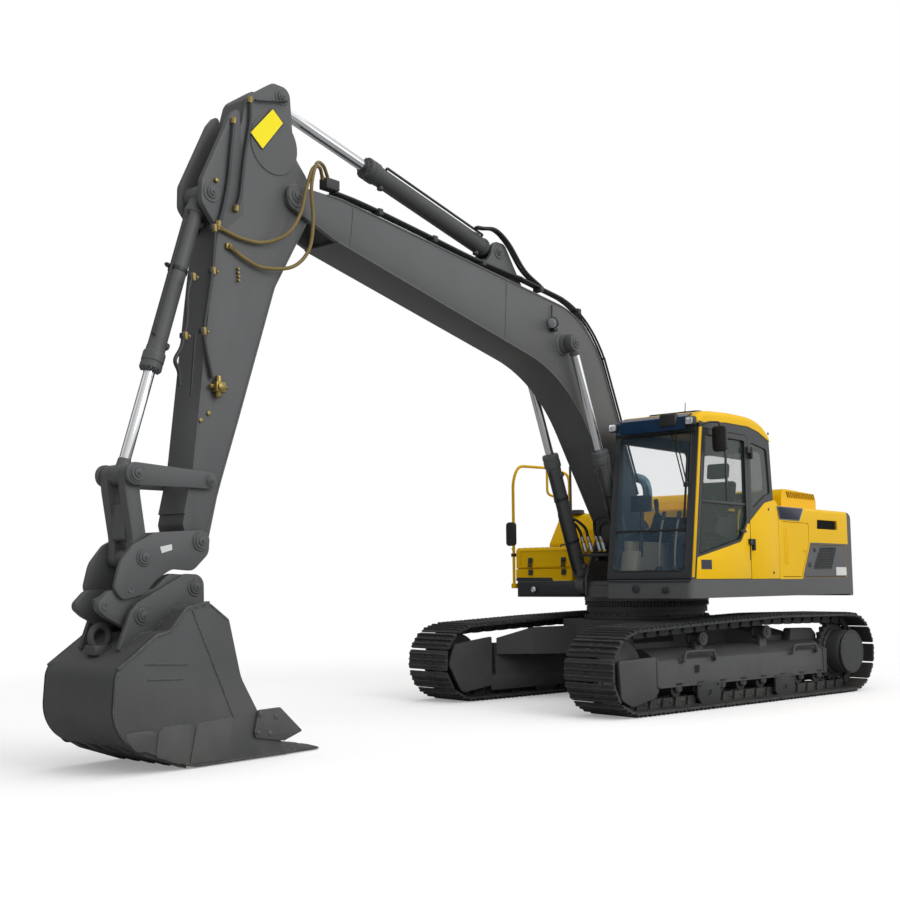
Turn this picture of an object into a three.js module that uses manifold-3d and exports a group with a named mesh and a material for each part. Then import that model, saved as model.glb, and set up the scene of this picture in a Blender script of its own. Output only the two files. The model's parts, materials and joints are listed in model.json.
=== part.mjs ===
// A crawler excavator with a long boom, a stick and a bucket on a quick coupler.
// Millimetres, +Z up. The upper body looks along -Y, its left (the cab) is +X, and the tracks
// stand turned a few degrees under it. The ground is at Z = 0.
import * as THREE from "three";
import { mergeVertices } from "three/addons/utils/BufferGeometryUtils.js";
import Module from "manifold-3d";

const wasm = await Module();
wasm.setup();

// ---------------------------------------------------------------- driving sizes
const seat = 0.3; // gap between pieces that touch
const runningGap = 5; // gap beside pieces that move past each other

// Tracks and track frames, in the undercarriage's own frame.
const trackTurn = THREE.MathUtils.degToRad(-7.65);
const gauge = 2263;
const shoeWidth = 600;
const shoeThickness = 46;
const chainThickness = 79;
const chainWidth = 180;
const idlerY = -1880;
const idlerReach = 410; // from the idler's centre to the shoes' outer face
const sprocketY = 1895;
const sprocketReach = 445;
const carrierYs = [-610, 510];
const carrierTops = [872, 903]; // the track's outer face above each carrier roller
const carrierRadius = 70;
const rollerRadius = 76;
const rollerCount = 9;
const rollerFirstY = -1440;
const rollerLastY = 1420;
const frameInner = 165; // track frame, inwards from the chain's middle
const frameOuter = 130;
const frameBottom = 236;
const frameTop = 488; // its outer edge, from which the roof slopes up to the ridge
const frameRidge = 590;
const frameFrontY = -1410;
const frameRearY = 1560;

// Centre frame and slew ring.
const carBodyHalf = 690;
const carBodyBottom = 470;
const carBodyTop = 840;
const legBottom = 470; // the legs that slope down to the track frames
const legOuterTop = 642;
const legInnerTop = 762;
const slewRadius = 640;
const slewJoint = 1040; // the plane where the upper body turns on the lower
const slewGap = 0.6;

// Upper body.
const deckBottom = 1082;
const deckTop = 1262;
const halfWidth = 1350;
const deckRadius = 60;
const frontLeft = -1375;
const frontRight = -630;
const tailFront = 2375;
const tailRadius = 2855;
const tailTop = 2050;
const housingFront = 545;
const housingTop = 2058;
const panelWall = 34;
const tankInner = -500;
const tankSplit = -870;
const tankInset = 5;
const tankFront = 20;
const tankRear = 1060;

// Cab.
const cabRight = 385;
const cabLeft = 1345;
const cabWall = 45;
const cabRear = 470;
const cabFrontTop = -1140;
const cabTop = 2812; // at the windshield
const cabCrown = 2862;
const roofRise = 116;
const doorRear = -120;
const doorSill = 1276;
const doorTop = 2765;
const doorThickness = 46;
const glass = 6;

// Working gear. The boom's middle lies a little to the right of the swing centre.
const boomMiddle = -50;
const boomHalf = 205;
const boomFoot = [-390, 1780];
const boomTip = [-5402, 4352];
const liftFoot = [-700, 1215];
const liftPin = [-1738, 3666];
const liftSpread = 312; // lift cylinder's middle, out from the boom's middle
const liftBore = 75; // outer radius of the lift cylinder's barrel
const liftRod = 45;
const liftBarrelLength = 1505;
const crowdBase = [-2660, 4465]; // stick cylinder on the boom
const crowdPin = [-5529, 5150];
const crowdBore = 85;
const crowdRod = 50;
const crowdBarrelLength = 1820;
const stickHalf = 155;
const stickTip = [-6314, 1567];
const curlBase = [-6225, 4194]; // bucket cylinder on the stick
const curlBore = 68;
const curlRod = 42;
const curlBarrelLength = 1460;
const guidePin = [-6231, 2010];
const linkTop = [-6870, 2027];
const linkFoot = [-6801, 1446];
const bucketHalf = 420;
const bucketPinFront = [-6393, 1240];
const bucketPinRear = [-6837, 1050];

// ---------------------------------------------------------------- finishes
const finish = (color, roughness, metalness) => new THREE.MeshStandardMaterial({ color, roughness, metalness });
const yellow = () => finish(0xf2b50c, 0.35, 0.0);
const darkGrey = () => finish(0x4b4d4f, 0.5, 0.1);
const black = () => finish(0x222426, 0.5, 0.1);
const trackSteel = () => finish(0x34363a, 0.6, 0.5);
const chrome = () => finish(0xd5d8da, 0.15, 1.0);
const glazing = () => finish(0x8fa6b2, 0.05, 0.0);
const cloth = () => finish(0x2c3135, 0.9, 0.0);

// ---------------------------------------------------------------- shape helpers
// A three.js geometry as a solid that can be joined and cut.
function solid(geometry) {
  const bare = geometry.clone();
  bare.deleteAttribute("normal");
  bare.deleteAttribute("uv");
  const merged = mergeVertices(bare, 1e-3);
  return new wasm.Manifold(new wasm.Mesh({
    numProp: 3,
    vertProperties: new Float32Array(merged.attributes.position.array),
    triVerts: new Uint32Array(merged.index.array),
  }));
}

const join = (...pieces) => pieces.reduce((whole, piece) => whole.add(piece));
const cut = (body, ...tools) => tools.reduce((rest, tool) => rest.subtract(tool), body);

// Points along an outline of corners [a, b, radius], with each rounded corner as an arc.
function rounded(corners, stepDegrees = 22.5) {
  const points = [];
  corners.forEach(([a, b, radius = 0], i) => {
    const here = new THREE.Vector2(a, b);
    if (radius === 0) {
      points.push(here);
      return;
    }
    const [pa, pb] = corners[(i + corners.length - 1) % corners.length];
    const [na, nb] = corners[(i + 1) % corners.length];
    const back = new THREE.Vector2(pa, pb).sub(here).normalize();
    const ahead = new THREE.Vector2(na, nb).sub(here).normalize();
    const half = Math.acos(THREE.MathUtils.clamp(back.dot(ahead), -1, 1)) / 2;
    const room = 0.48 * Math.min(here.distanceTo(new THREE.Vector2(pa, pb)), here.distanceTo(new THREE.Vector2(na, nb)));
    const fitting = Math.min(radius, room * Math.tan(half));
    const centre = back.clone().add(ahead).normalize().multiplyScalar(fitting / Math.sin(half)).add(here);
    const start = here.clone().addScaledVector(back, fitting / Math.tan(half)).sub(centre);
    const side = Math.sign(back.x * ahead.y - back.y * ahead.x);
    const sweep = Math.PI - 2 * half;
    const steps = Math.max(1, Math.ceil(THREE.MathUtils.radToDeg(sweep) / stepDegrees));
    for (let k = 0; k <= steps; k += 1) {
      const turned = start.clone().rotateAround(new THREE.Vector2(), (-side * sweep * k) / steps);
      points.push(turned.add(centre));
    }
  });
  return points;
}

// The same corners, each side moved inwards by a distance.
function inset(corners, distance) {
  const turn = Math.sign(corners.reduce((sum, [a, b], i) => {
    const [na, nb] = corners[(i + 1) % corners.length];
    return sum + a * nb - na * b;
  }, 0));
  return corners.map(([a, b, radius = 0], i) => {
    const [pa, pb] = corners[(i + corners.length - 1) % corners.length];
    const [na, nb] = corners[(i + 1) % corners.length];
    const before = new THREE.Vector2(a - pa, b - pb).normalize();
    const after = new THREE.Vector2(na - a, nb - b).normalize();
    const normalSum = new THREE.Vector2(-before.y - after.y, before.x + after.x).multiplyScalar(turn);
    const scale = distance / (1 + before.dot(after));
    return [a + normalSum.x * scale, b + normalSum.y * scale, Math.max(0, radius - distance)];
  });
}

// A prism from an outline: along X from (y, z), along Y from (x, z), or along Z from (x, y).
function prism(axis, points, from, to, after = new THREE.Matrix4()) {
  const geometry = new THREE.ExtrudeGeometry(new THREE.Shape(points), { depth: to - from, bevelEnabled: false });
  const x = new THREE.Vector3(1, 0, 0);
  const y = new THREE.Vector3(0, 1, 0);
  const z = new THREE.Vector3(0, 0, 1);
  const place = new THREE.Matrix4();
  if (axis === "x") place.makeBasis(y, z, x).setPosition(from, 0, 0);
  if (axis === "y") place.makeBasis(x, z, y.clone().negate()).setPosition(0, to, 0);
  if (axis === "z") place.makeTranslation(0, 0, from);
  return solid(geometry.applyMatrix4(place).applyMatrix4(after));
}

const side = (corners, from, to) => prism("x", rounded(corners), from, to);
const plan = (corners, from, to) => prism("z", rounded(corners), from, to);
const front = (corners, from, to) => prism("y", rounded(corners), from, to);

function box(x0, x1, y0, y1, z0, z1) {
  const geometry = new THREE.BoxGeometry(x1 - x0, y1 - y0, z1 - z0);
  return solid(geometry.translate((x0 + x1) / 2, (y0 + y1) / 2, (z0 + z1) / 2));
}

// A round bar along X through [y, z], or along Z through [x, y].
function barX([y, z], radius, from, to, sides = 24) {
  const geometry = new THREE.CylinderGeometry(radius, radius, to - from, sides);
  return solid(geometry.rotateZ(Math.PI / 2).translate((from + to) / 2, y, z));
}

function barZ([x, y], radius, from, to, sides = 32) {
  const geometry = new THREE.CylinderGeometry(radius, radius, to - from, sides);
  return solid(geometry.rotateX(Math.PI / 2).translate(x, y, (from + to) / 2));
}

// A round tube or rod along straight runs with rounded bends, from points [x, y, z].
function pipe(points, radius, bend = 80, sides = 10) {
  const path = new THREE.CurvePath();
  const at = points.map((point) => new THREE.Vector3(...point));
  let from = at[0];
  for (let i = 1; i < at.length - 1; i += 1) {
    const reach = Math.min(bend, at[i].distanceTo(at[i - 1]) / 2.1, at[i].distanceTo(at[i + 1]) / 2.1);
    const enter = at[i].clone().add(at[i - 1].clone().sub(at[i]).setLength(reach));
    const leave = at[i].clone().add(at[i + 1].clone().sub(at[i]).setLength(reach));
    path.add(new THREE.LineCurve3(from, enter));
    path.add(new THREE.QuadraticBezierCurve3(enter, at[i], leave));
    from = leave;
  }
  path.add(new THREE.LineCurve3(from, at[at.length - 1]));
  const ring = new THREE.Shape();
  ring.absarc(0, 0, radius, 0, Math.PI * 2);
  const steps = Math.max(2, (points.length - 1) * 8);
  const options = { steps, curveSegments: sides / 2, bevelEnabled: false, extrudePath: path };
  return solid(new THREE.ExtrudeGeometry(ring, options));
}

// A turned piece about the X axis through [y, z], from a closed profile of [x, radius].
function turnedX([y, z], profile, sides = 32) {
  const points = profile.map(([x, radius]) => new THREE.Vector2(radius, x));
  const geometry = new THREE.LatheGeometry(points, sides);
  return solid(geometry.rotateZ(-Math.PI / 2).translate(0, y, z));
}

// A turned piece about the swing axis, from a closed profile of [radius, z].
function turnedZ(profile, sides) {
  const points = profile.map(([radius, z]) => new THREE.Vector2(radius, z));
  return solid(new THREE.LatheGeometry(points, sides).rotateX(Math.PI / 2));
}

// A node: a named mesh with its own finish.
function addPiece(group, name, shape, material) {
  const mesh = shape.getMesh();
  const geometry = new THREE.BufferGeometry();
  geometry.setAttribute("position", new THREE.BufferAttribute(new Float32Array(mesh.vertProperties), 3));
  geometry.setIndex(new THREE.BufferAttribute(new Uint32Array(mesh.triVerts), 1));
  geometry.computeVertexNormals();
  const piece = new THREE.Mesh(geometry, material);
  piece.name = name;
  group.add(piece);
  return piece;
}

const excavator = new THREE.Group();
const undercarriage = new THREE.Group();
undercarriage.rotation.z = trackTurn;
excavator.add(undercarriage);

// ---------------------------------------------------------------- tracks
// The loop's outline in the side view, moved inwards by depth: flat on the ground, round the
// idler and the sprocket, and over the two carrier rollers.
const arcSteps = 16;

function trackOutline(depth) {
  const loop = [];
  const arc = (y, z, radius, from, to) => {
    for (let k = 0; k <= arcSteps; k += 1) {
      const angle = THREE.MathUtils.degToRad(from + ((to - from) * k) / arcSteps);
      loop.push(new THREE.Vector2(y + radius * Math.cos(angle), z + radius * Math.sin(angle)));
    }
  };
  arc(idlerY, idlerReach, idlerReach - depth, 272, 93);
  carrierYs.forEach((y, i) => loop.push(new THREE.Vector2(y, carrierTops[i] - depth)));
  arc(sprocketY, sprocketReach, sprocketReach - depth, 89, -88);
  return loop;
}

function trackLoop(middle) {
  const shoes = prism("x", trackOutline(0), middle - shoeWidth / 2, middle + shoeWidth / 2);
  const insideShoes = prism("x", trackOutline(shoeThickness), middle - shoeWidth, middle + shoeWidth);
  const chain = prism("x", trackOutline(shoeThickness - 2), middle - chainWidth / 2, middle + chainWidth / 2);
  const insideChain = prism("x", trackOutline(shoeThickness + chainThickness), middle - shoeWidth, middle + shoeWidth);
  return join(cut(shoes, insideShoes), cut(chain, insideChain));
}

const bandDepth = shoeThickness + chainThickness;
const rollerZ = bandDepth + seat + rollerRadius;
const facet = Math.cos(THREE.MathUtils.degToRad(90 / arcSteps)); // how far an arc's flats lie inside it
const idlerRadius = (idlerReach - bandDepth) * facet - seat;
const sprocketRadius = (sprocketReach - bandDepth) * facet - seat;
const idlerPlate = 28;
const idlerPlateFoot = 143;
const idlerGap = 3;

// Box beam with a sloping roof and a roller channel, idler side plates, carrier rollers and a drive ring.
function trackFrame(middle, outward) {
  const outer = middle + outward * frameOuter;
  const inner = middle - outward * frameInner;
  const [x0, x1] = [Math.min(outer, inner), Math.max(outer, inner)];
  const beam = front([
    [outer, frameBottom], [outer, frameTop], [middle + outward * 55, frameRidge, 20], [inner, frameRidge],
    [inner, frameBottom],
  ], frameFrontY, frameRearY);
  const channelHalf = 112;
  const channel = box(middle - channelHalf, middle + channelHalf, frameFrontY - 10, frameRearY + 10,
    frameBottom - 10, rollerZ + rollerRadius + 12);
  const plates = [-1, 1].map((hand) => {
    const face = hand * outward > 0 ? frameOuter : frameOuter - 2;
    const a = middle + hand * (face - idlerPlate);
    const b = middle + hand * face;
    const top = hand * outward > 0 ? frameTop + 38 : frameRidge + 50;
    const reach = hand * outward > 0 ? 110 : 200;
    return side([
      [idlerY - reach, idlerReach - 60, 60], [idlerY - reach / 2, 130, 60], [idlerY + 90, 85, 30],
      [frameFrontY + 5, idlerPlateFoot], [frameFrontY + 5, top], [idlerY - reach, top - 20, 40],
    ], Math.min(a, b), Math.max(a, b));
  });
  const carriers = carrierYs.map((y, i) => {
    const z = carrierTops[i] - bandDepth - 4 - carrierRadius;
    const stand = side([
      [y - 70, frameRidge - 10], [y + 70, frameRidge - 10], [y + 45, z, 40], [y - 45, z, 40],
    ], middle - 24, middle + 24);
    return join(stand, barX([y, z], carrierRadius, middle - 85, middle + 85, 20));
  });
  const driveIn = middle - outward * (frameInner - 4);
  const driveOut = middle - outward * 60;
  const drivePlate = side([
    [frameRearY - 40, frameBottom], [sprocketY + 60, frameBottom + 20, 120], [sprocketY + 150, sprocketReach, 90],
    [sprocketY + 40, sprocketReach + 170, 100], [frameRearY - 40, frameTop],
  ], Math.min(driveIn, driveOut), Math.max(driveIn, driveOut));
  return join(cut(beam, channel), ...plates, ...carriers, drivePlate, bottomRollers(middle));
}

// Bottom rollers on the two rails that carry them under the frame.
const railBottom = frameBottom - 44;

function bottomRollers(middle) {
  const pitch = (rollerLastY - rollerFirstY) / (rollerCount - 1);
  const pieces = [-1, 1].map((hand) => {
    const a = middle + hand * 96;
    const b = middle + hand * 122;
    return box(Math.min(a, b), Math.max(a, b), rollerFirstY - 90, rollerLastY + 90, railBottom,
      frameBottom + 4);
  });
  for (let i = 0; i < rollerCount; i += 1) {
    const y = rollerFirstY + pitch * i;
    pieces.push(barX([y, rollerZ], rollerRadius, middle - 88, middle + 88, 14));
    pieces.push(barX([y, rollerZ], 30, middle - 112, middle + 112, 6));
  }
  return join(...pieces);
}

// A wheel with a raised middle rib that runs between the chain's links.
function idlerWheel(middle) {
  const half = 82;
  const hub = frameOuter - idlerPlate - idlerGap;
  return turnedX([idlerY, idlerReach], [
    [middle - hub, 0], [middle - hub, 75], [middle - half, 75], [middle - half, idlerRadius],
    [middle + half, idlerRadius], [middle + half, 75], [middle + hub, 75], [middle + hub, 0],
  ]);
}

// Sprocket disc with the final drive's drum outside it and its motor inside the frame.
function sprocketWheel(middle, outward) {
  const at = (x) => middle + outward * x;
  const profile = [
    [at(-59), 0], [at(-59), 150], [at(-30), 170], [at(-30), sprocketRadius], [at(34), sprocketRadius],
    [at(34), 262], [at(70), 250], [at(225), 240], [at(262), 205], [at(268), 0],
  ];
  return turnedX([sprocketY, sprocketReach], outward > 0 ? profile : profile.reverse());
}

for (const [hand, outward] of [["left", 1], ["right", -1]]) {
  const middle = (outward * gauge) / 2;
  addPiece(undercarriage, `track_${hand}`, trackLoop(middle), trackSteel());
  addPiece(undercarriage, `track_frame_${hand}`, trackFrame(middle, outward), black());
  addPiece(undercarriage, `idler_${hand}`, idlerWheel(middle), trackSteel());
  addPiece(undercarriage, `sprocket_${hand}`, sprocketWheel(middle, outward), trackSteel());
}

// Centre frame: a box under the slew ring and four legs out to the track frames.
function centreFrame() {
  const legEnd = gauge / 2 - frameInner - seat;
  const legs = [];
  for (const x of [-1, 1]) {
    for (const y of [-1, 1]) {
      const outline = plan([
        [x * 420, y * 220], [x * legEnd, y * 760], [x * legEnd, y * 1400], [x * carBodyHalf, y * 1090, 150],
        [x * 420, y * (carBodyHalf - 20)],
      ], legBottom, carBodyTop);
      const slope = front([
        [x * 400, legBottom], [x * (legEnd + 10), legBottom], [x * (legEnd + 10), legOuterTop], [x * 700, legInnerTop, 60],
        [x * 400, legInnerTop],
      ], -2000, 2000);
      legs.push(outline.intersect(slope));
    }
  }
  const body = plan([
    [-carBodyHalf, -carBodyHalf, 120], [carBodyHalf, -carBodyHalf, 120], [carBodyHalf, carBodyHalf, 120],
    [-carBodyHalf, carBodyHalf, 120],
  ], carBodyBottom, carBodyTop);
  return join(body, ...legs, barZ([0, 0], slewRadius, carBodyTop - 10, slewJoint));
}
addPiece(undercarriage, "center_frame", centreFrame(), black());

// ---------------------------------------------------------------- main frame and tail
const earInner = boomHalf + 3;
const earOuter = earInner + 22;
const liftStub = 42;
const slotHalf = 420; // half width of the deck's gap for the boom and its cylinders

function mainFrame() {
  const deck = plan([
    [-halfWidth, frontRight, deckRadius], [boomMiddle - slotHalf, frontRight], [boomMiddle - slotHalf, frontRight + 180],
    [cabRight - 5, frontRight + 180], [cabRight - 5, frontLeft, 30], [halfWidth, frontLeft, deckRadius],
    [halfWidth, tailFront - seat], [-halfWidth, tailFront - seat],
  ], deckBottom, deckTop);
  const ring = barZ([0, 0], slewRadius + 45, slewJoint + slewGap, deckBottom + 5);
  const [footY, footZ] = boomFoot;
  const [liftY, liftZ] = liftFoot;
  const cheek = [
    [liftY - 95, deckBottom + 10, 30], [liftY - 95, liftZ + 75, 80], [footY - 190, footZ - 60, 60],
    [footY - 110, footZ + 150, 140], [footY + 160, footZ + 130, 140], [footY + 330, footZ - 250, 120],
    [housingFront - 15, deckTop + 90, 60], [housingFront - 15, deckBottom + 10],
  ];
  const cheeks = [-1, 1].map((hand) => {
    const a = boomMiddle + hand * earInner;
    const b = boomMiddle + hand * earOuter;
    return side(cheek, Math.min(a, b), Math.max(a, b));
  });
  const nose = box(boomMiddle - earInner, boomMiddle + earInner, liftY - 60, frontRight + 200, deckBottom, deckTop - 60);
  const stub = barX(liftFoot, liftStub, boomMiddle - liftSpread - 60, boomMiddle + liftSpread + 60, 24);
  return cut(join(deck, ring, ...cheeks, nose, stub));
}

// Tail weight: its rear follows a circle about the swing centre, with rounded edges and corners.
function counterweight() {
  const bottom = deckBottom - 20;
  const sideEnd = Math.sqrt(tailRadius ** 2 - halfWidth ** 2);
  const past = 300;
  const outline = [
    [-halfWidth, tailFront], [halfWidth, tailFront], [halfWidth, sideEnd, 80],
    [halfWidth - past, sideEnd + (past * halfWidth) / sideEnd], [halfWidth - past, tailRadius + past],
    [past - halfWidth, tailRadius + past], [past - halfWidth, sideEnd + (past * halfWidth) / sideEnd],
    [-halfWidth, sideEnd, 80],
  ];
  const drum = turnedZ(rounded([[0, bottom], [tailRadius, bottom, 50], [tailRadius, tailTop, 130], [0, tailTop]]), 120);
  const block = drum.intersect(plan(outline, bottom - 10, tailTop + 10));
  const recess = box(-560, 560, tailFront - 10, tailFront + 150, bottom - 10, deckBottom + 110);
  return cut(block, recess);
}

const house = new THREE.Group();
excavator.add(house);
addPiece(house, "main_frame", mainFrame(), darkGrey());
addPiece(house, "counterweight", counterweight(), darkGrey());

// ---------------------------------------------------------------- engine housing and doors
const hoodFront = 700;
const hoodRear = 2200;
const hoodHalf = 1080;
const humpFront = 1235;
const humpRear = 2170;
const humpRight = -860;
const humpWall = 35;
const sideDoorFront = 620;
const sideDoorTop = 1888;
const grilleRear = 2315;
const panelBottom = deckTop + 22;
const sideDoor = [
  [sideDoorFront, panelBottom, 15], [1085, panelBottom, 15], [1300, 1650, 15], [1300, sideDoorTop, 30],
  [sideDoorFront, sideDoorTop, 30],
];
const grilleDoor = [[1135, panelBottom, 15], [grilleRear, panelBottom, 15], [grilleRear, 1650, 15], [1352, 1650, 15]];
const vent = [[1520, 1830, 8], [2090, 1830, 8], [2075, 1935, 8], [1535, 1935, 8]];
const pumpDoor = [[1180, panelBottom, 20], [grilleRear, panelBottom, 20], [grilleRear, 1985, 30], [1180, 1985, 30]];

function engineHousing() {
  const outline = (grow) => [
    [-halfWidth + grow, deckTop], [halfWidth - grow, deckTop], [halfWidth - grow, housingTop - grow, 40],
    [-halfWidth + grow, housingTop - grow, 40],
  ];
  const shell = front(outline(0), housingFront, tailFront - seat);
  const cavity = box(-halfWidth + panelWall, halfWidth - panelWall, housingFront + panelWall,
    tailFront - panelWall, deckTop - 10, housingTop - panelWall);
  const leftHoles = [sideDoor, grilleDoor, vent].map((hole) => side(hole, halfWidth - 60, halfWidth + 10));
  const pumpHole = side(pumpDoor, -halfWidth - 10, -halfWidth + 60);
  const hoodHole = box(-hoodHalf + 20, hoodHalf - 20, hoodFront + 20, hoodRear - 20, housingTop - 80, housingTop + 10);
  const tankNotch = box(-halfWidth - 10, tankInner + 5, housingFront - 10, tankRear + 5, deckTop - 10, housingTop + 10);
  const raised = cut(shell, cavity, ...leftHoles, pumpHole, hoodHole, tankNotch);
  const behindTanks = box(-halfWidth, tankInner + 5, tankRear + 6, tankRear + 6 + panelWall, deckTop, housingTop);
  const besideTanks = box(tankInner + 6, tankInner + 6 + panelWall, housingFront, tankRear + 20, deckTop, housingTop);
  return join(raised, behindTanks, besideTanks);
}

// Raised hood with an air intake hump along its left half.
function engineHood() {
  const base = housingTop + seat;
  const lid = plan([
    [-hoodHalf, hoodFront, 60], [hoodHalf, hoodFront, 60], [hoodHalf, hoodRear, 60], [-hoodHalf, hoodRear, 60],
  ], base, base + 30);
  const hump = side([
    [humpFront, base + 20], [humpRear, base + 20], [humpRear, base + 150, 60], [humpRear - 110, base + 212, 90],
    [humpFront + 260, base + 232, 200], [humpFront + 45, base + 236, 60], [humpFront + 5, base + 150, 60],
  ], humpRight, hoodHalf - 20);
  const inside = box(humpRight + humpWall, hoodHalf - 20 - humpWall, humpFront + 60, humpRear - 60, base - 5, base + 110);
  return cut(join(lid, hump), inside);
}

const engineBlock = () => box(-620, 560, 1290, 1960, deckTop + seat, 1880);

// A door panel in its hole, with the running gap all round but for its hinge edge at y.
function panel(outline, hingeY, from, to) {
  const middleY = outline.reduce((sum, [y]) => sum + y, 0) / outline.length;
  const shift = Math.sign(hingeY - middleY) * (runningGap - seat);
  return side(inset(outline, runningGap).map(([y, z, r]) => [y + shift, z, r]), from, to);
}

addPiece(house, "engine_housing", engineHousing(), yellow());
addPiece(house, "engine_block", engineBlock(), black());
addPiece(house, "engine_hood", engineHood(), yellow());
addPiece(house, "left_side_door", panel(sideDoor, sideDoorFront, halfWidth - panelWall, halfWidth), yellow());
addPiece(house, "left_grille_door", panel(grilleDoor, grilleRear, halfWidth - panelWall, halfWidth), darkGrey());
addPiece(house, "pump_door", panel(pumpDoor, grilleRear, -halfWidth, -halfWidth + panelWall), yellow());

// ---------------------------------------------------------------- right front: tanks and tool box
const boxInner = -560;
const boxRear = -40;
const boxTop = 1640;
const lidWall = 30;
const lidSkirtBottom = 1400;
const railRadius = 17;

function fuelTank() {
  return side([
    [tankFront + 30, deckTop + seat], [tankRear, deckTop + seat], [tankRear, housingTop, 40],
    [tankFront + 250, housingTop, 120], [tankFront, 1700, 60],
  ], -halfWidth + tankInset, tankSplit - seat);
}

function hydraulicTank() {
  return side([
    [tankFront + 10, deckTop + seat], [tankRear, deckTop + seat], [tankRear, housingTop, 40],
    [tankFront + 160, housingTop, 110], [tankFront + 10, 1850, 60],
  ], tankSplit, tankInner);
}

function toolBox() {
  const shell = box(-halfWidth + 10, boxInner, frontRight, boxRear, deckTop + seat, boxTop - lidWall - seat);
  const inside = box(-halfWidth + 40, boxInner - 30, frontRight + 40, boxRear - 30, deckTop + 35, boxTop);
  const lidPath = box(-halfWidth, boxInner + 10, frontRight - 10, frontRight + lidWall + 4, lidSkirtBottom - 2, boxTop);
  return cut(shell, inside, lidPath);
}

function toolBoxLid() {
  return side([
    [frontRight, lidSkirtBottom + 4], [frontRight + lidWall, lidSkirtBottom + 4], [frontRight + lidWall, boxTop - lidWall],
    [boxRear, boxTop - lidWall], [boxRear, boxTop, 12], [frontRight, boxTop, 45],
  ], -halfWidth + 10, boxInner);
}

// Grab rail that rises beside the tool box and runs back to the tank's top.
function handrail() {
  const x = -halfWidth - 30;
  const y = frontRight + 15;
  const foot = box(x - 22, -halfWidth - seat, y - 22, y + 22, deckTop - 80, deckTop - 30);
  const pads = [330, 520].map((at) => (
    box(x - 22, -halfWidth + tankInset - seat, at - 22, at + 22, housingTop - 110, housingTop - 60)));
  const rail = pipe([
    [x, y, deckTop - 60], [x, y, 2425], [x, y + 105, 2600], [x, 120, 2615], [x, 520, 2560], [x, 520, housingTop - 80],
  ], railRadius, 110, 8);
  const post = pipe([[x, 60, 2600], [x, 60, 2300], [x, 330, 2250], [x, 330, housingTop - 80]], railRadius, 60, 8);
  return join(foot, ...pads, rail, post);
}

addPiece(house, "fuel_tank", fuelTank(), yellow());
addPiece(house, "hydraulic_tank", hydraulicTank(), yellow());
addPiece(house, "tool_box", toolBox(), yellow());
addPiece(house, "tool_box_lid", toolBoxLid(), yellow());
addPiece(house, "handrail", handrail(), yellow());

// Bent exhaust pipe on the hood's front.
function exhaust() {
  return pipe([
    [-330, 622, housingTop + seat], [-330, 622, 2330], [-370, 622, 2440], [-500, 622, 2480],
  ], 55, 90, 10);
}
addPiece(house, "exhaust_stack", exhaust(), finish(0x3a5560, 0.4, 0.7));

// ---------------------------------------------------------------- cab
const cabFloor = deckTop + seat;
const pillarLean = (cabFrontTop - frontLeft) / (cabTop - cabFloor);
const pillarAt = (z) => frontLeft + pillarLean * (z - cabFloor);
const cabOutline = [
  [frontLeft, cabFloor, 20], [cabRear, cabFloor, 15], [440, 2110, 200], [385, 2742, 40], [130, 2828, 200],
  [-105, cabCrown, 300], [-600, cabCrown - 5, 300], [cabFrontTop, cabTop, 30],
];
const doorOutline = [
  [pillarAt(doorSill) + 85, doorSill, 30], [doorRear, doorSill, 30], [doorRear, doorTop, 50], [pillarAt(doorTop) + 85, doorTop, 50],
];
const doorWindow = [
  [pillarAt(1500) + 140, 1500, 25], [-330, 1668, 90], [doorRear - 62, 1860, 60], [doorRear - 62, doorTop - 55, 40],
  [pillarAt(doorTop - 55) + 140, doorTop - 55, 40],
];
const rightWindow = [[-1150, 1700, 50], [330, 1980, 60], [280, 2670, 50], [pillarAt(2670) + 90, 2670, 50]];
const quarterWindow = [[doorRear + 62, 1990, 40], [250, 2150, 60], [370, 2180, 30], [320, 2650, 50], [doorRear + 62, 2700, 40]];
const rearWindow = [
  [cabRight + 90, 2200, 60], [cabLeft - 90, 2200, 60], [cabLeft - 90, 2640, 60], [cabRight + 90, 2640, 60],
];
const rearPane = 398;
const frontWindow = [[cabRight + 60, 1345, 60], [cabLeft - 70, 1345, 60], [cabLeft - 70, 2735, 40], [cabRight + 60, 2735, 40]];

// An outline [x, z] cut or set into the slanted front wall, depths counted from its face.
function onFrontWall(corners, from, to) {
  const slant = new THREE.Matrix4().makeTranslation(0, frontLeft, cabFloor)
    .multiply(new THREE.Matrix4().makeRotationX(-Math.atan(pillarLean)))
    .multiply(new THREE.Matrix4().makeTranslation(0, 0, -cabFloor));
  return prism("y", rounded(corners), from, to, slant);
}

function cabFrame() {
  const outer = side(cabOutline, cabRight, cabLeft);
  const inner = side(inset(cabOutline, cabWall), cabRight + cabWall, cabLeft - cabWall);
  const roofHole = box(cabRight + 80, cabLeft - 80, -950, 230, cabTop - 40, cabTop + 100);
  const hinges = knuckles.map((z) => knuckle(z, doorRear + 35, 0));
  const shell = cut(
    outer, inner, roofHole,
    side(doorOutline, cabLeft - cabWall - 5, cabLeft + 10),
    side(quarterWindow, cabLeft - cabWall - 5, cabLeft + 10),
    side(rightWindow, cabRight - 10, cabRight + cabWall + 5),
    front(rearWindow, 300, cabRear + 20),
    onFrontWall(frontWindow, -20, cabWall + 40),
  );
  return join(shell, ...hinges);
}

function cabRoof() {
  const top = cabCrown + roofRise;
  const shell = side([
    [cabFrontTop - 30, cabTop - 4, 15], [392, cabTop - 70], [392, top - 170, 30], [300, top - 95, 120],
    [20, top - 6, 300], [-450, top, 300], [cabFrontTop + 60, top - 55, 60], [cabFrontTop - 30, top - 95, 25],
  ], cabRight + 5, cabLeft - 5);
  return cut(shell, side(inset(cabOutline, -seat), cabRight - 10, cabLeft + 10));
}

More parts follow.
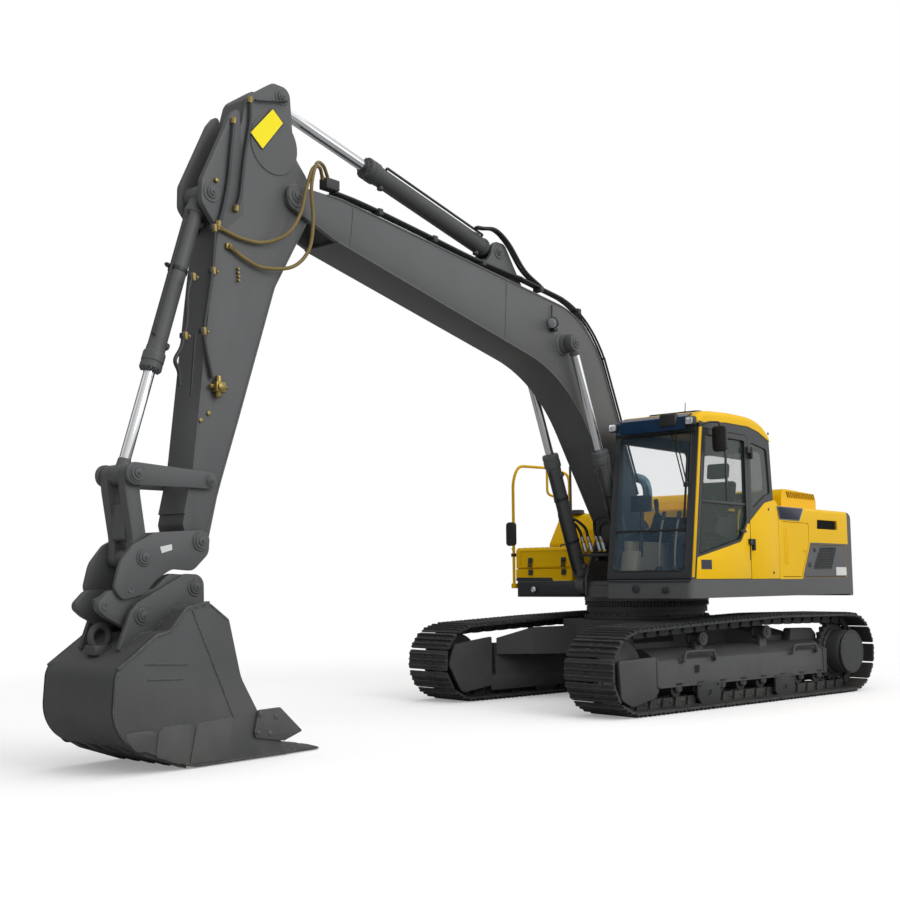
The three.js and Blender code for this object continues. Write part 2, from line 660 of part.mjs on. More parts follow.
// The door swings on two knuckles outside the rear pillar, the cab's half of each below its own.
const doorPin = [cabLeft + 32, doorRear + 30];
const knuckleRadius = 15;
const knuckleHeight = 60;
const knuckles = [1560, 2520];

function knuckle(bottom, toY, gap) {
  const [x, y] = doorPin;
  const top = bottom + knuckleHeight;
  const arm = box(cabLeft + 4, x, Math.min(y, toY), Math.max(y, toY), bottom + gap, top);
  const pad = box(cabLeft - 5, cabLeft + 8, toY - 12, toY + 12, bottom + gap, top);
  return join(arm, pad, barZ(doorPin, knuckleRadius, bottom + gap, top, 12));
}

function cabDoor() {
  const panelShape = side(inset(doorOutline, runningGap), cabLeft - doorThickness, cabLeft);
  const hinges = knuckles.map((z) => knuckle(z + knuckleHeight, doorRear - 45, seat));
  return join(cut(panelShape, side(doorWindow, cabLeft - doorThickness - 5, cabLeft + 5)), ...hinges);
}

const pane = (outline, from, to) => side(inset(outline, seat), from, to);

addPiece(house, "cab_frame", cabFrame(), black());
addPiece(house, "cab_roof", cabRoof(), yellow());
addPiece(house, "cab_door", cabDoor(), yellow());
addPiece(house, "door_glass", pane(doorWindow, cabLeft - 26, cabLeft - 26 + glass), glazing());
addPiece(house, "quarter_glass", pane(quarterWindow, cabLeft - 20, cabLeft - 20 + glass), glazing());
addPiece(house, "right_glass", pane(rightWindow, cabRight + 14, cabRight + 14 + glass), glazing());
const windshield = onFrontWall(inset(frontWindow, seat), 14, 14 + glass);
addPiece(house, "windshield", windshield, glazing());
addPiece(house, "rear_glass", front(inset(rearWindow, seat), rearPane, rearPane + glass), glazing());

// Seat on its console stand.
const seatMiddle = (cabRight + cabLeft) / 2;
const floorTop = cabFloor + cabWall;

const seatTop = 1640;

function seatBase() {
  const stand = box(seatMiddle - 210, seatMiddle + 210, -480, 60, floorTop + seat, seatTop);
  const tray = box(seatMiddle - 390, seatMiddle + 390, -330, -20, seatTop - 80, seatTop);
  const arms = [-1, 1].map((hand) => {
    const a = seatMiddle + hand * 275;
    const b = seatMiddle + hand * 390;
    return side([[-720, 1740, 30], [-20, 1600, 20], [0, 1900, 60], [-600, 1900, 60]], Math.min(a, b), Math.max(a, b));
  });
  return join(stand, tray, ...arms);
}

function seatCushion() {
  const bottom = seatTop + seat;
  return side([[-560, 1760, 60], [-540, bottom, 20], [-80, bottom, 20], [-68, 1740, 20]], seatMiddle - 255, seatMiddle + 255);
}

function seatBack() {
  const back = side([
    [-62, seatTop + seat, 5], [60, seatTop + seat, 5], [170, 2330, 60], [60, 2350, 60],
  ], seatMiddle - 240, seatMiddle + 240);
  const head = side([[70, 2330, 20], [165, 2320, 20], [190, 2520, 50], [95, 2540, 50]], seatMiddle - 140, seatMiddle + 140);
  return join(back, head);
}

addPiece(house, "seat_base", seatBase(), black());
addPiece(house, "seat_cushion", seatCushion(), cloth());
addPiece(house, "seat_backrest", seatBack(), cloth());

// ---------------------------------------------------------------- boom
const liftEyeHalf = 50;
const crowdEyeHalf = 62;
const curlEyeHalf = 97;
const linkEyeHalf = 60;
const boomEar = 45; // thickness of the fork ears that hold the stick
const pinGap = 0.7;
const bossGap = 0.5;

function boomBeam() {
  const [tipY, tipZ] = boomTip;
  const [footY, footZ] = boomFoot;
  const beam = side([
    [tipY - 95, tipZ + 95, 90], [-4900, tipZ + 95, 300], [-2432, 4150, 600], [-1232, 4006, 1700],
    [footY + 185, footZ + 60, 80], [footY + 175, footZ - 165, 160], [footY - 190, footZ - 165, 160],
    [footY - 250, footZ + 70, 200], [-1683, 3330, 1700], [-4945, 4063, 400], [tipY - 95, tipZ - 95, 90],
  ], boomMiddle - boomHalf, boomMiddle + boomHalf);
  const fork = side([
    [tipY - 200, tipZ + 250], [tipY + 330, tipZ + 250], [tipY + 330, tipZ - 20], [tipY + 545, tipZ - 400],
    [tipY - 200, tipZ - 400],
  ], boomMiddle - boomHalf + boomEar, boomMiddle + boomHalf - boomEar);
  const [baseY, baseZ] = crowdBase;
  const crowdEars = [-1, 1].map((hand) => {
    const a = boomMiddle + hand * (crowdEyeHalf + bossGap);
    const b = boomMiddle + hand * (crowdEyeHalf + bossGap + 40);
    return side([
      [baseY - 330, 4160], [baseY - 110, baseZ - 40, 60], [baseY - 80, baseZ + 95, 90], [baseY + 95, baseZ + 95, 90],
      [baseY + 420, 4100],
    ], Math.min(a, b), Math.max(a, b));
  });
  const bosses = [-1, 1].map((hand) => {
    const a = boomMiddle + hand * (boomHalf - 10);
    const b = boomMiddle + hand * (liftSpread - liftEyeHalf - bossGap);
    return barX(liftPin, 95, Math.min(a, b), Math.max(a, b), 28);
  });
  const footBoss = barX(boomFoot, 100, boomMiddle - earInner + bossGap, boomMiddle + earInner - bossGap, 28);
  return join(cut(beam, fork), ...crowdEars, ...bosses, footBoss);
}

// ---------------------------------------------------------------- cylinders
// A barrel is built standing on its base eye at the origin, with the rod's bore from its top.
const boreFloor = 150;
const rodTail = { lift: 960, crowd: 900, curl: 880 };

function barrel(length, radius, rod, eyeRadius, eyeHalf, middle) {
  const glandLength = 150;
  const neck = barZ([middle, 0], Math.min(radius, eyeHalf) - 3, eyeRadius - 20, eyeRadius + 60, 24);
  const tube = barZ([middle, 0], radius, eyeRadius + 50, length - glandLength + 5, 24);
  const gland = barZ([middle, 0], radius + 16, length - glandLength, length, 24);
  const eye = barX([0, 0], eyeRadius, middle - eyeHalf, middle + eyeHalf, 24);
  return cut(join(neck, tube, gland, eye), barZ([middle, 0], rod + seat, boreFloor, length + 5, 20));
}

function rodPiece(tail, length, radius, eyeRadius, eyeHalf, middle) {
  const shaft = barZ([middle, 0], radius, tail, length - eyeRadius + 20, 20);
  const neck = barZ([middle, 0], radius + 4, length - eyeRadius - 34, length - eyeRadius + 16, 20);
  return join(shaft, neck, barX([0, length], eyeRadius, middle - eyeHalf, middle + eyeHalf, 24));
}

// Stands a piece on one pin, its long axis towards another.
function aim(piece, [fromY, fromZ], [toY, toZ]) {
  piece.position.set(0, fromY, fromZ);
  piece.rotation.x = Math.atan2(-(toY - fromY), toZ - fromZ);
}
const reach = ([ay, az], [by, bz]) => Math.hypot(by - ay, bz - az);

const gear = new THREE.Group();
house.add(gear);
addPiece(gear, "boom", boomBeam(), darkGrey());
for (const [hand, outward] of [["left", 1], ["right", -1]]) {
  const middle = boomMiddle + outward * liftSpread;
  const length = reach(liftFoot, liftPin);
  const tube = cut(barrel(liftBarrelLength, liftBore, liftRod, 95, liftEyeHalf, middle),
    barX([0, 0], liftStub + pinGap, middle - 80, middle + 80, 24));
  aim(addPiece(gear, `lift_cylinder_${hand}`, tube, darkGrey()), liftFoot, liftPin);
  const rod = rodPiece(rodTail.lift, length, liftRod, 88, liftEyeHalf, middle);
  aim(addPiece(gear, `lift_rod_${hand}`, rod, chrome()), liftFoot, liftPin);
}
const crowdTube = barrel(crowdBarrelLength, crowdBore, crowdRod, 88, crowdEyeHalf, boomMiddle);
aim(addPiece(gear, "stick_cylinder", crowdTube, black()), crowdBase, crowdPin);
const crowdShaft = rodPiece(rodTail.crowd, reach(crowdBase, crowdPin), crowdRod, 85, crowdEyeHalf, boomMiddle);
aim(addPiece(gear, "stick_rod", crowdShaft, chrome()), crowdBase, crowdPin);
const curlTube = barrel(curlBarrelLength, curlBore, curlRod, 78, curlEyeHalf, boomMiddle);
aim(addPiece(gear, "bucket_cylinder", curlTube, black()), curlBase, linkTop);
const curlShaft = rodPiece(rodTail.curl, reach(curlBase, linkTop), curlRod, 64, linkEyeHalf, boomMiddle);
aim(addPiece(gear, "bucket_rod", curlShaft, chrome()), curlBase, linkTop);

// ---------------------------------------------------------------- stick
const guideShaft = 36;
const guideBore = guideShaft + 0.8;

function stickBeam() {
  const [tipY, tipZ] = stickTip;
  const [pinY, pinZ] = crowdPin;
  const [baseY, baseZ] = curlBase;
  const beam = side([
    [pinY - 95, pinZ + 95, 90], [pinY + 90, pinZ + 95, 90], [-5385, 4700, 100], [-5225, 4530, 150], [-5225, 4200, 150],
    [-5440, 3830, 150], [-5586, 3573, 150], [-5927, 2523, 300], [-6095, 2023, 300], [tipY + 95, tipZ - 60, 95],
    [tipY - 60, tipZ - 100, 95], [tipY - 130, tipZ + 120, 60], [-6362, 2086, 300], [-6205, 3588, 300],
    [-6120, 4150, 200], [-5880, 5060, 150],
  ], boomMiddle - stickHalf, boomMiddle + stickHalf);
  const rodSlot = side([
    [pinY - 210, pinZ + 300], [pinY - 210, pinZ - 25, 40], [pinY - 110, pinZ - 110, 60], [pinY - 20, pinZ - 540],
    [pinY + 260, pinZ - 560], [pinY + 500, pinZ + 300],
  ], boomMiddle - crowdEyeHalf - bossGap, boomMiddle + crowdEyeHalf + bossGap);
  const ears = [-1, 1].map((hand) => {
    const a = boomMiddle + hand * (curlEyeHalf + bossGap);
    const b = boomMiddle + hand * stickHalf;
    return side([
      [-6130, 3900], [baseY - 90, baseZ - 90, 85], [baseY - 90, baseZ + 80, 85], [-6060, 4830, 80], [-5980, 4900], [-5950, 4100],
    ], Math.min(a, b), Math.max(a, b));
  });
  const eyeRoom = side([
    [baseY - 200, baseZ - 260], [-6165, baseZ - 260], [baseY + 100, baseZ - 60], [baseY + 100, baseZ + 105, 40],
    [baseY - 200, baseZ + 105],
  ], boomMiddle - curlEyeHalf - bossGap, boomMiddle + curlEyeHalf + bossGap);
  const forkRoom = boomHalf - boomEar - bossGap;
  const boss = barX(boomTip, 100, boomMiddle - forkRoom, boomMiddle + forkRoom, 28);
  const bore = barX(guidePin, guideBore, boomMiddle - 200, boomMiddle + 200, 24);
  return cut(join(cut(beam, rodSlot, eyeRoom), ...ears, boss), bore);
}
addPiece(gear, "stick", stickBeam(), darkGrey());

// Two guide plates on a shaft through the stick, with stub pins for the link at their far ends.
function guideLinks() {
  const inner = stickHalf + 3;
  const outer = inner + 40;
  const linkFace = linkEyeHalf + bossGap;
  const [ay, az] = guidePin;
  const [by, bz] = linkTop;
  const plates = [-1, 1].map((hand) => {
    const a = boomMiddle + hand * inner;
    const b = boomMiddle + hand * outer;
    const bar = side([[ay + 10, az + 52], [by - 10, bz + 58], [by - 10, bz - 58], [ay + 10, az - 52]], Math.min(a, b), Math.max(a, b));
    const stub = barX(linkTop, guideShaft, Math.min(boomMiddle + hand * linkFace, b), Math.max(boomMiddle + hand * linkFace, b), 24);
    return join(bar, barX(guidePin, 62, Math.min(a, b), Math.max(a, b)), barX(linkTop, 82, Math.min(a, b), Math.max(a, b)), stub);
  });
  return join(...plates, barX(guidePin, guideShaft, boomMiddle - inner - 5, boomMiddle + inner + 5, 24));
}
addPiece(gear, "guide_links", guideLinks(), darkGrey());

// H-shaped link from the guide plates down to the coupler.
function bucketLink() {
  const [ty, tz] = linkTop;
  const [fy, fz] = linkFoot;
  const bars = [-1, 1].map((hand) => {
    const a = boomMiddle + hand * (linkEyeHalf + 5);
    const b = boomMiddle + hand * (stickHalf - 7);
    const from = Math.min(a, b);
    const to = Math.max(a, b);
    const bar = side([[ty - 55, tz], [ty + 55, tz], [fy + 55, fz], [fy - 55, fz]], from, to);
    return join(bar, barX(linkTop, 78, from, to), barX(linkFoot, 72, from, to));
  });
  const web = side([
    [(ty + fy) / 2 - 45, (tz + fz) / 2 - 170], [(ty + fy) / 2 + 55, (tz + fz) / 2 - 170],
    [(ty + fy) / 2 + 40, (tz + fz) / 2 + 90], [(ty + fy) / 2 - 50, (tz + fz) / 2 + 90],
  ], boomMiddle - 70, boomMiddle + 70);
  const bore = barX(linkTop, guideBore, boomMiddle - 200, boomMiddle + 200, 24);
  const tube = barX(linkFoot, 62, boomMiddle - 70, boomMiddle + 70);
  return cut(join(...bars, web, tube), bore);
}
addPiece(gear, "bucket_link", bucketLink(), darkGrey());

// ---------------------------------------------------------------- quick coupler and bucket
const bucketShaft = 40;

function quickCoupler() {
  const [tipY, tipZ] = stickTip;
  const [linkY, linkZ] = linkFoot;
  const [frontY, frontZ] = bucketPinFront;
  const [rearY, rearZ] = bucketPinRear;
  const upper = [
    [tipY + 85, tipZ + 85, 85], [tipY + 75, tipZ - 120, 80], [tipY - 110, tipZ - 210, 60], [-6638, 1325, 100],
    [-6764, 1225, 60], [rearY - 130, 1150, 60], [rearY - 215, 1215, 60], [-6993, 1408, 80], [linkY - 85, linkZ + 85, 90],
    [-6700, 1622, 80],
  ];
  const plates = [-1, 1].map((hand) => {
    const a = boomMiddle + hand * (stickHalf + runningGap);
    const b = boomMiddle + hand * (stickHalf + 44);
    const face = boomMiddle + hand * (stickHalf + bossGap);
    return join(side(upper, Math.min(a, b), Math.max(a, b)), barX(stickTip, 78, Math.min(face, b), Math.max(face, b)));
  });
  const lower = [
    [frontY + 85, frontZ + 75, 70], [frontY + 80, frontZ - 85, 70], [frontY - 120, frontZ - 80, 60], [-6640, 1130, 60],
    [rearY + 95, rearZ - 75, 60], [rearY - 80, rearZ - 85, 70], [-7062, 1052, 40], [-7160, 1110, 40], [-7046, 1222, 60],
    [-6690, 1222, 60], [-6560, 1335, 60],
  ];
  const cheeks = [-1, 1].map((hand) => {
    const a = boomMiddle + hand * 100;
    const b = boomMiddle + hand * (stickHalf + 10);
    return side(lower, Math.min(a, b), Math.max(a, b));
  });
  const core = side([[-6560, 1150, 20], [-6700, 1120, 20], [-6700, 1215, 20], [-6560, 1300, 20]], boomMiddle - 105, boomMiddle + 105);
  const bores = [bucketPinFront, bucketPinRear].map((pin) => (
    barX(pin, bucketShaft + seat, boomMiddle - 300, boomMiddle + 300, 20)));
  return cut(join(...plates, ...cheeks, core), ...bores);
}
addPiece(gear, "quick_coupler", quickCoupler(), black());

const bucketWall = 28;
const bucketOutline = [
  [-5660, 8], [-6520, 6, 380], [-7190, 250, 330], [-7165, 700, 160], [-6840, 930, 60], [-6730, 940, 30],
  [-6600, 1090, 60], [-6400, 1128, 60],
  [-6226, 1008, 40], [-6110, 590, 300], [-5956, 347, 80], [-5690, 70, 20],
];
const toothCount = 5;

function bucketShell() {
  const shell = side(bucketOutline, boomMiddle - bucketHalf, boomMiddle + bucketHalf);
  const inner = inset(bucketOutline, bucketWall).slice(1, 8);
  const hollow = side([
    [-5400, bucketWall + 6], ...inner, [-6380, 1160], [-5900, 1160], [-5400, 500],
  ], boomMiddle - bucketHalf + bucketWall, boomMiddle + bucketHalf - bucketWall);
  const ears = [-1, 1].map((hand) => {
    const a = boomMiddle + hand * (stickHalf + 50);
    const b = boomMiddle + hand * (stickHalf + 88);
    const [frontY, frontZ] = bucketPinFront;
    const [rearY, rearZ] = bucketPinRear;
    return side([
      [frontY + 85, 1070], [frontY + 75, frontZ + 85, 80], [frontY - 90, frontZ + 90, 80], [-6620, 1260, 80],
      [rearY - 70, rearZ + 80, 80], [rearY - 190, 820, 20], [rearY - 60, 800], [-6600, 1060],
    ], Math.min(a, b), Math.max(a, b));
  });
  const shafts = [bucketPinFront, bucketPinRear].map((pin) => (
    barX(pin, bucketShaft, boomMiddle - stickHalf - 100, boomMiddle + stickHalf + 100, 20)));
  const teeth = [];
  for (let i = 0; i < toothCount; i += 1) {
    const x = boomMiddle + (bucketHalf - 60) * (2 * i / (toothCount - 1) - 1);
    teeth.push(side([[-5320, 6], [-5320, 16], [-5520, 66], [-5760, 62], [-5760, 8]], x - 38, x + 38));
  }
  const cutters = [-1, 1].map((hand) => {
    const a = boomMiddle + hand * (bucketHalf - 2);
    const b = boomMiddle + hand * (bucketHalf + 22);
    return side([[-5975, 345], [-5753, 351], [-5540, 170], [-5714, 112], [-5985, 159]], Math.min(a, b), Math.max(a, b));
  });
  return join(cut(join(shell, ...ears), hollow), ...shafts, ...teeth, ...cutters);
}
addPiece(gear, "bucket", bucketShell(), darkGrey());

// The origin lies on the ground, in the middle of the whole machine.
const bounds = new THREE.Box3().setFromObject(excavator, true);
const centre = bounds.getCenter(new THREE.Vector3());
excavator.position.set(-centre.x, -centre.y, -bounds.min.z);
const part = new THREE.Group();
part.add(excavator);

export default part;
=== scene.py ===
# A crawler excavator: the looks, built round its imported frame.
# Shapes are written in millimetres in the upper body's own axes: forward is -Y, the cab is at +X,
# the ground is Z = 0. house() and under() carry them into the row frame, in metres.
import json
import math
import bpy
import bmesh
import numpy as np
from mathutils import Matrix, Vector

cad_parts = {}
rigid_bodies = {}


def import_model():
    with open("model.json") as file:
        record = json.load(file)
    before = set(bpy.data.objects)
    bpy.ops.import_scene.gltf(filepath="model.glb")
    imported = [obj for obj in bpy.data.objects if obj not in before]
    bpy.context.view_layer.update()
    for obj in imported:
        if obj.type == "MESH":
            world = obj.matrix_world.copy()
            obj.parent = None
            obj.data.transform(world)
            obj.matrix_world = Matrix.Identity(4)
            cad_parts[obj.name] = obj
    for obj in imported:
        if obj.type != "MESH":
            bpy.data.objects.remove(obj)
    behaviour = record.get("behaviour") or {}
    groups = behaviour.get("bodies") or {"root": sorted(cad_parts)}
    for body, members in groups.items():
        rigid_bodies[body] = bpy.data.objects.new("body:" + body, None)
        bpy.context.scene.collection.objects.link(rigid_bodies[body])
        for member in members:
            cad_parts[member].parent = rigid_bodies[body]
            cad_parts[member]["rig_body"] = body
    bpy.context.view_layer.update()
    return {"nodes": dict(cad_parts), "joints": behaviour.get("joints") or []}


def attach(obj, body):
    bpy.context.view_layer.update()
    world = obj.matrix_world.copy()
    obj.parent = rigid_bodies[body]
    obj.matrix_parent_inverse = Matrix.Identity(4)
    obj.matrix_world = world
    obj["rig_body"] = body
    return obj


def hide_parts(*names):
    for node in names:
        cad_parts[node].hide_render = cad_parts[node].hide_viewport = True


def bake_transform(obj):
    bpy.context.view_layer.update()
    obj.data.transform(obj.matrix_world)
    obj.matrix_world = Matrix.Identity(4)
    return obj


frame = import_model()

joints = {joint["name"]: joint for joint in frame["joints"]}
slewHeight = 1.040  # where the swing joint sits above the ground
origin = np.array(joints["swing"]["pos_m"]) - np.array([0, 0, slewHeight])
trackTurn = math.radians(-7.65)  # the tracks stand a little turned under the upper body


def house(points):
    return np.asarray(points, float) / 1000 + origin


def under(points):
    # The undercarriage's axes: a turn about the swing axis, then the same move.
    c, s = math.cos(trackTurn), math.sin(trackTurn)
    return np.asarray(points, float) @ np.array([[c, s, 0], [-s, c, 0], [0, 0, 1]]) / 1000 + origin


# ---- shapes: each returns (points, faces), closed, with its faces outwards

def outwards(points, faces):
    # The signed volume of all face fans; when it is negative every face is turned round.
    longest = max(len(face) for face in faces)
    table = np.array([face + [face[-1]] * (longest - len(face)) for face in faces])
    corner = points[table]
    volume = np.einsum("fk,fnk->", corner[:, 0], np.cross(corner[:, 1:-1], corner[:, 2:]))
    return points, (faces if volume > 0 else [face[::-1] for face in faces])


def unit(rows):
    return rows / np.linalg.norm(rows, axis=1)[:, None]


def loft(rings, close=False):
    # point(i, j) = ring i's corner j: quads join neighbouring rings, flat faces close the two ends.
    rings = np.asarray(rings, float)
    m, n = rings.shape[:2]
    i, j = np.meshgrid(np.arange(m if close else m - 1), np.arange(n), indexing="ij")
    quads = np.stack([i * n + j, i * n + (j + 1) % n, (i + 1) % m * n + (j + 1) % n, (i + 1) % m * n + j], -1)
    faces = quads.reshape(-1, 4).tolist()
    if not close:
        faces += [list(range(n))[::-1], list(range((m - 1) * n, m * n))]
    return outwards(rings.reshape(-1, 3), faces)


def rounded(corners, step=9):
    # Corners (a, b, radius) into an outline: each radius is an arc that touches both its sides.
    points = []
    for k, (a, b, *rest) in enumerate(corners):
        here = np.array([a, b], float)
        if not rest or rest[0] == 0:
            points.append(here[None])
            continue
        back = np.array(corners[k - 1][:2], float) - here
        ahead = np.array(corners[(k + 1) % len(corners)][:2], float) - here
        room = 0.48 * min(np.linalg.norm(back), np.linalg.norm(ahead))
        back, ahead = back / np.linalg.norm(back), ahead / np.linalg.norm(ahead)
        half = math.acos(np.clip(back @ ahead, -1, 1)) / 2
        radius = min(rest[0], room * math.tan(half))
        centre = here + (back + ahead) / np.linalg.norm(back + ahead) * radius / math.sin(half)
        start = here + back * radius / math.tan(half) - centre
        sweep = -np.sign(back[0] * ahead[1] - back[1] * ahead[0]) * (math.pi - 2 * half)
        t = np.linspace(0, sweep, max(2, math.ceil(math.degrees(abs(sweep)) / step) + 1))
        points.append(centre + np.stack([np.cos(t) * start[0] - np.sin(t) * start[1],
            np.sin(t) * start[0] + np.cos(t) * start[1]], 1))
    return np.concatenate(points)


def narrowed(outline, distance):
    # Every corner moves along the middle of its two sides' normals, so each side moves in by distance.
    before = outline - np.roll(outline, 1, 0)
    after = np.roll(outline, -1, 0) - outline
    before /= np.linalg.norm(before, axis=1)[:, None] + 1e-9
    after /= np.linalg.norm(after, axis=1)[:, None] + 1e-9
    x, y = outline[:, 0], outline[:, 1]
    turn = np.sign(np.sum(x * np.roll(y, -1) - y * np.roll(x, -1)))
    both = before + after
    scale = distance * turn / np.maximum(1 + np.sum(before * after, 1), 0.35)
    return outline + np.stack([-both[:, 1], both[:, 0]], 1) * scale[:, None]


axisOrder = {"x": (2, 0, 1), "y": (0, 2, 1), "z": (0, 1, 2)}


def plate(corners, start, end, axis="x", edge=5, step=9):
    # An outline carried straight along an axis; near both faces it narrows along a quarter circle.
    outline = corners if isinstance(corners, np.ndarray) else rounded(corners, step)
    t = np.radians([0, 45, 90]) if edge else np.radians([90])
    narrow, along = edge * (1 - np.sin(t)), edge * (1 - np.cos(t)) if edge else np.zeros(1)
    stations = list(zip(start + along, narrow)) + list(zip(end - along[::-1], narrow[::-1]))
    rings = [np.column_stack([narrowed(outline, inward) if inward else outline, np.full(len(outline), at)]) for at,
        inward in stations]
    return loft(np.array(rings)[:, :, list(axisOrder[axis])])


def rect(start, end, low, high, radius):
    return [(start, low, radius), (end, low, radius), (end, high, radius), (start, high, radius)]


def block(x, y, z, edge=5, corner=None):
    # A rounded rectangle in plan, carried up.
    radius = edge if corner is None else corner
    return plate(rect(x[0], x[1], y[0], y[1], radius), z[0], z[1], "z", edge, 30)


def axesRound(direction):
    # A direction of length one and two more across it.
    direction = np.array(direction, float) / np.linalg.norm(direction)
    across = np.cross(direction, [0, 0, 1] if abs(direction[2]) < 0.9 else [1, 0, 0])
    across /= np.linalg.norm(across)
    other = np.cross(direction, across)
    return direction, across, other


def turned(start, direction, profile, sides=32):
    # point(s, angle) = start + s * direction + radius(s) * (cos, sin) across it.
    direction, across, other = axesRound(direction)
    along, radius = np.array(profile, float).T
    angle = np.arange(sides) * 2 * math.pi / sides
    circle = np.cos(angle)[:, None] * across + np.sin(angle)[:, None] * other
    rings = (np.array(start, float) + along[:, None, None] * direction
        + np.maximum(radius, 0.3)[:, None, None] * circle)
    return loft(rings)


def bar(start, end, radius, edge=3, sides=32):
    # A turned bar between two points with eased ends.
    length = np.linalg.norm(np.subtract(end, start))
    profile = [(0, radius - edge), (edge * 0.3, radius - edge * 0.3), (edge, radius), (length - edge, radius),
        (length - edge * 0.3, radius - edge * 0.3), (length, radius - edge)]
    return turned(start, np.subtract(end, start), profile, sides)


def barX(centre, radius, start, end, edge=3, sides=32):
    return bar((start, *centre), (end, *centre), radius, edge, sides)


def bolt(at, direction, radius=14, height=12):
    # A hexagon head with an eased top, on a round washer.
    direction = np.array(direction, float) / np.linalg.norm(direction)
    head = turned(np.array(at) + direction * 2.5, direction, [(0, radius), (height * 0.8, radius),
        (height, radius * 0.82)], 6)
    return merged([head, turned(at, direction, [(-1, radius * 1.25), (2.5, radius * 1.25)], 16)])


def boltCircle(centre, direction, ring, count, radius=12, height=10):
    # Bolts at equal angles on a circle across the direction.
    direction, across, other = axesRound(direction)
    return merged([bolt(np.array(centre) + ring * (math.cos(a) * across + math.sin(a) * other), direction, radius,
        height) for a in np.arange(count) * 2 * math.pi / count])


def smoothPath(points, per=10):
    # A Catmull-Rom curve: each span is a cubic whose end slopes are half the neighbours' difference.
    p = np.asarray(points, float)
    p = np.concatenate([2 * p[:1] - p[1:2], p, 2 * p[-1:] - p[-2:-1]])
    t = np.linspace(0, 1, per, endpoint=False)[:, None, None]
    a, b, c, d = p[:-3], p[1:-2], p[2:-1], p[3:]
    spans = 0.5 * (2 * b + (c - a) * t + (2 * a - 5 * b + 4 * c - d) * t**2 + (3 * b - a - 3 * c + d) * t**3)
    return np.concatenate([spans.transpose(1, 0, 2).reshape(-1, 3), p[-2:-1]])


def bentPath(points, bend=60, per=6):
    # Straight runs; each corner is a quadratic curve that starts and ends the bend's reach away.
    p = np.asarray(points, float)
    path = [p[:1]]
    t = np.linspace(0, 1, per + 1)[:, None]
    for before, here, after in zip(p[:-2], p[1:-1], p[2:]):
        back, ahead = before - here, after - here
        reach = min(bend, np.linalg.norm(back) / 2.1, np.linalg.norm(ahead) / 2.1)
        enter = here + back / np.linalg.norm(back) * reach
        leave = here + ahead / np.linalg.norm(ahead) * reach
        path.append((1 - t)**2 * enter + 2 * t * (1 - t) * here + t**2 * leave)
    return np.concatenate(path + [p[-1:]])


def swept(path, profile, sides=12, close=False):
    # A profile carried along a path: ring(i) = path(i) + a * side(i) + b * top(i), where side lies
    # across the slope and a fixed axis, and top across both.
    path = np.asarray(path, float)
    slope = np.roll(path, -1, 0) - np.roll(path, 1, 0) if close else np.gradient(path, axis=0)
    slope = unit(slope)
    fixed = np.eye(3)[np.argmin(np.abs(slope).max(0))]
    side = np.cross(slope, fixed)
    side = unit(side)
    top = np.cross(side, slope)
    if np.isscalar(profile):
        angle = np.arange(sides) * 2 * math.pi / sides
        profile = profile * np.stack([np.cos(angle), np.sin(angle)], 1)
    a, b = np.asarray(profile, float).T
    return loft(path[:, None] + a[:, None] * side[:, None] + b[:, None] * top[:, None], close)


def pipe(points, radius, sides, bend, per=6):
    return swept(bentPath(points, bend, per), radius, sides)


def hose(points, radius, sides, per=8):
    return swept(smoothPath(points, per), radius, sides)


def merged(parts):
    # Several closed shapes as one list of points and faces.
    points, faces, start = [], [], 0
    for partPoints, partFaces in parts:
        points.append(partPoints)
        faces += [[k + start for k in face] for face in partFaces] if start else partFaces
        start += len(partPoints)
    return np.concatenate(points), faces


def repeated(part, origins, firsts, seconds):
    # Copies of a shape: point = origin(k) + x along X + y * first(k) + z * second(k).
    points, faces = part
    copies = (origins[:, None] + points[None, :, :1] * np.array([1.0, 0, 0]) + points[None, :, 1:2] * firsts[:, None]
        + points[None, :, 2:] * seconds[:, None])
    count = len(points)
    table = {size: np.array([face for face in faces if len(face) == size]) for size in {len(f) for f in faces}}
    shift = np.arange(len(origins)) * count
    copied = [row for rows in table.values()
        for row in (rows[None] + shift[:, None, None]).reshape(-1, rows.shape[1]).tolist()]
    return copies.reshape(-1, 3), copied


def atX(x, path):
    # Pairs (y, z) as points in the plane of this x.
    return np.column_stack([np.full(len(path), x), path])


def between(start, end, count):
    t = np.linspace(0, 1, count)[:, None]
    return np.array([start]) * (1 - t) + np.array([end]) * t


def moved(part, by):
    return part[0] + np.array(by, float), part[1]


def acrossX(part):
    # The mirror image in x, its faces turned back outwards.
    points, faces = part
    return points * [-1, 1, 1], [face[::-1] for face in faces]


def bothSides(part):
    return merged([part, acrossX(part)])


def newObject(name, data):
    made = bpy.data.objects.new(name, data)
    bpy.context.scene.collection.objects.link(made)
    return made


def newPiece(name, mesh, finish, body, smooth):
    # A mesh with its finish and its hard edges, riding its body.
    mesh.materials.append(finish)
    mesh.shade_smooth()
    mesh.set_sharp_from_angle(angle=math.radians(smooth))
    piece = newObject(name, mesh)
    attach(piece, body)
    return piece


pieceCount = 0


def makePiece(name, parts, finish, body="house", place=house, stands=(), smooth=38):
    # Puts the shapes into one mesh at their place and lets it ride its body.
    global pieceCount
    points, faces = merged(parts) if isinstance(parts, list) else parts
    mesh = bpy.data.meshes.new(name)
    mesh.from_pydata(place(points).tolist(), [], faces)
    piece = newPiece(name, mesh, finish, body, smooth)
    if stands:
        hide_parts(*stands)
    pieceCount += 1
    return piece


def underPiece(name, parts, finish, stands=(), smooth=38):
    return makePiece(name, parts, finish, "undercarriage", under, stands, smooth)


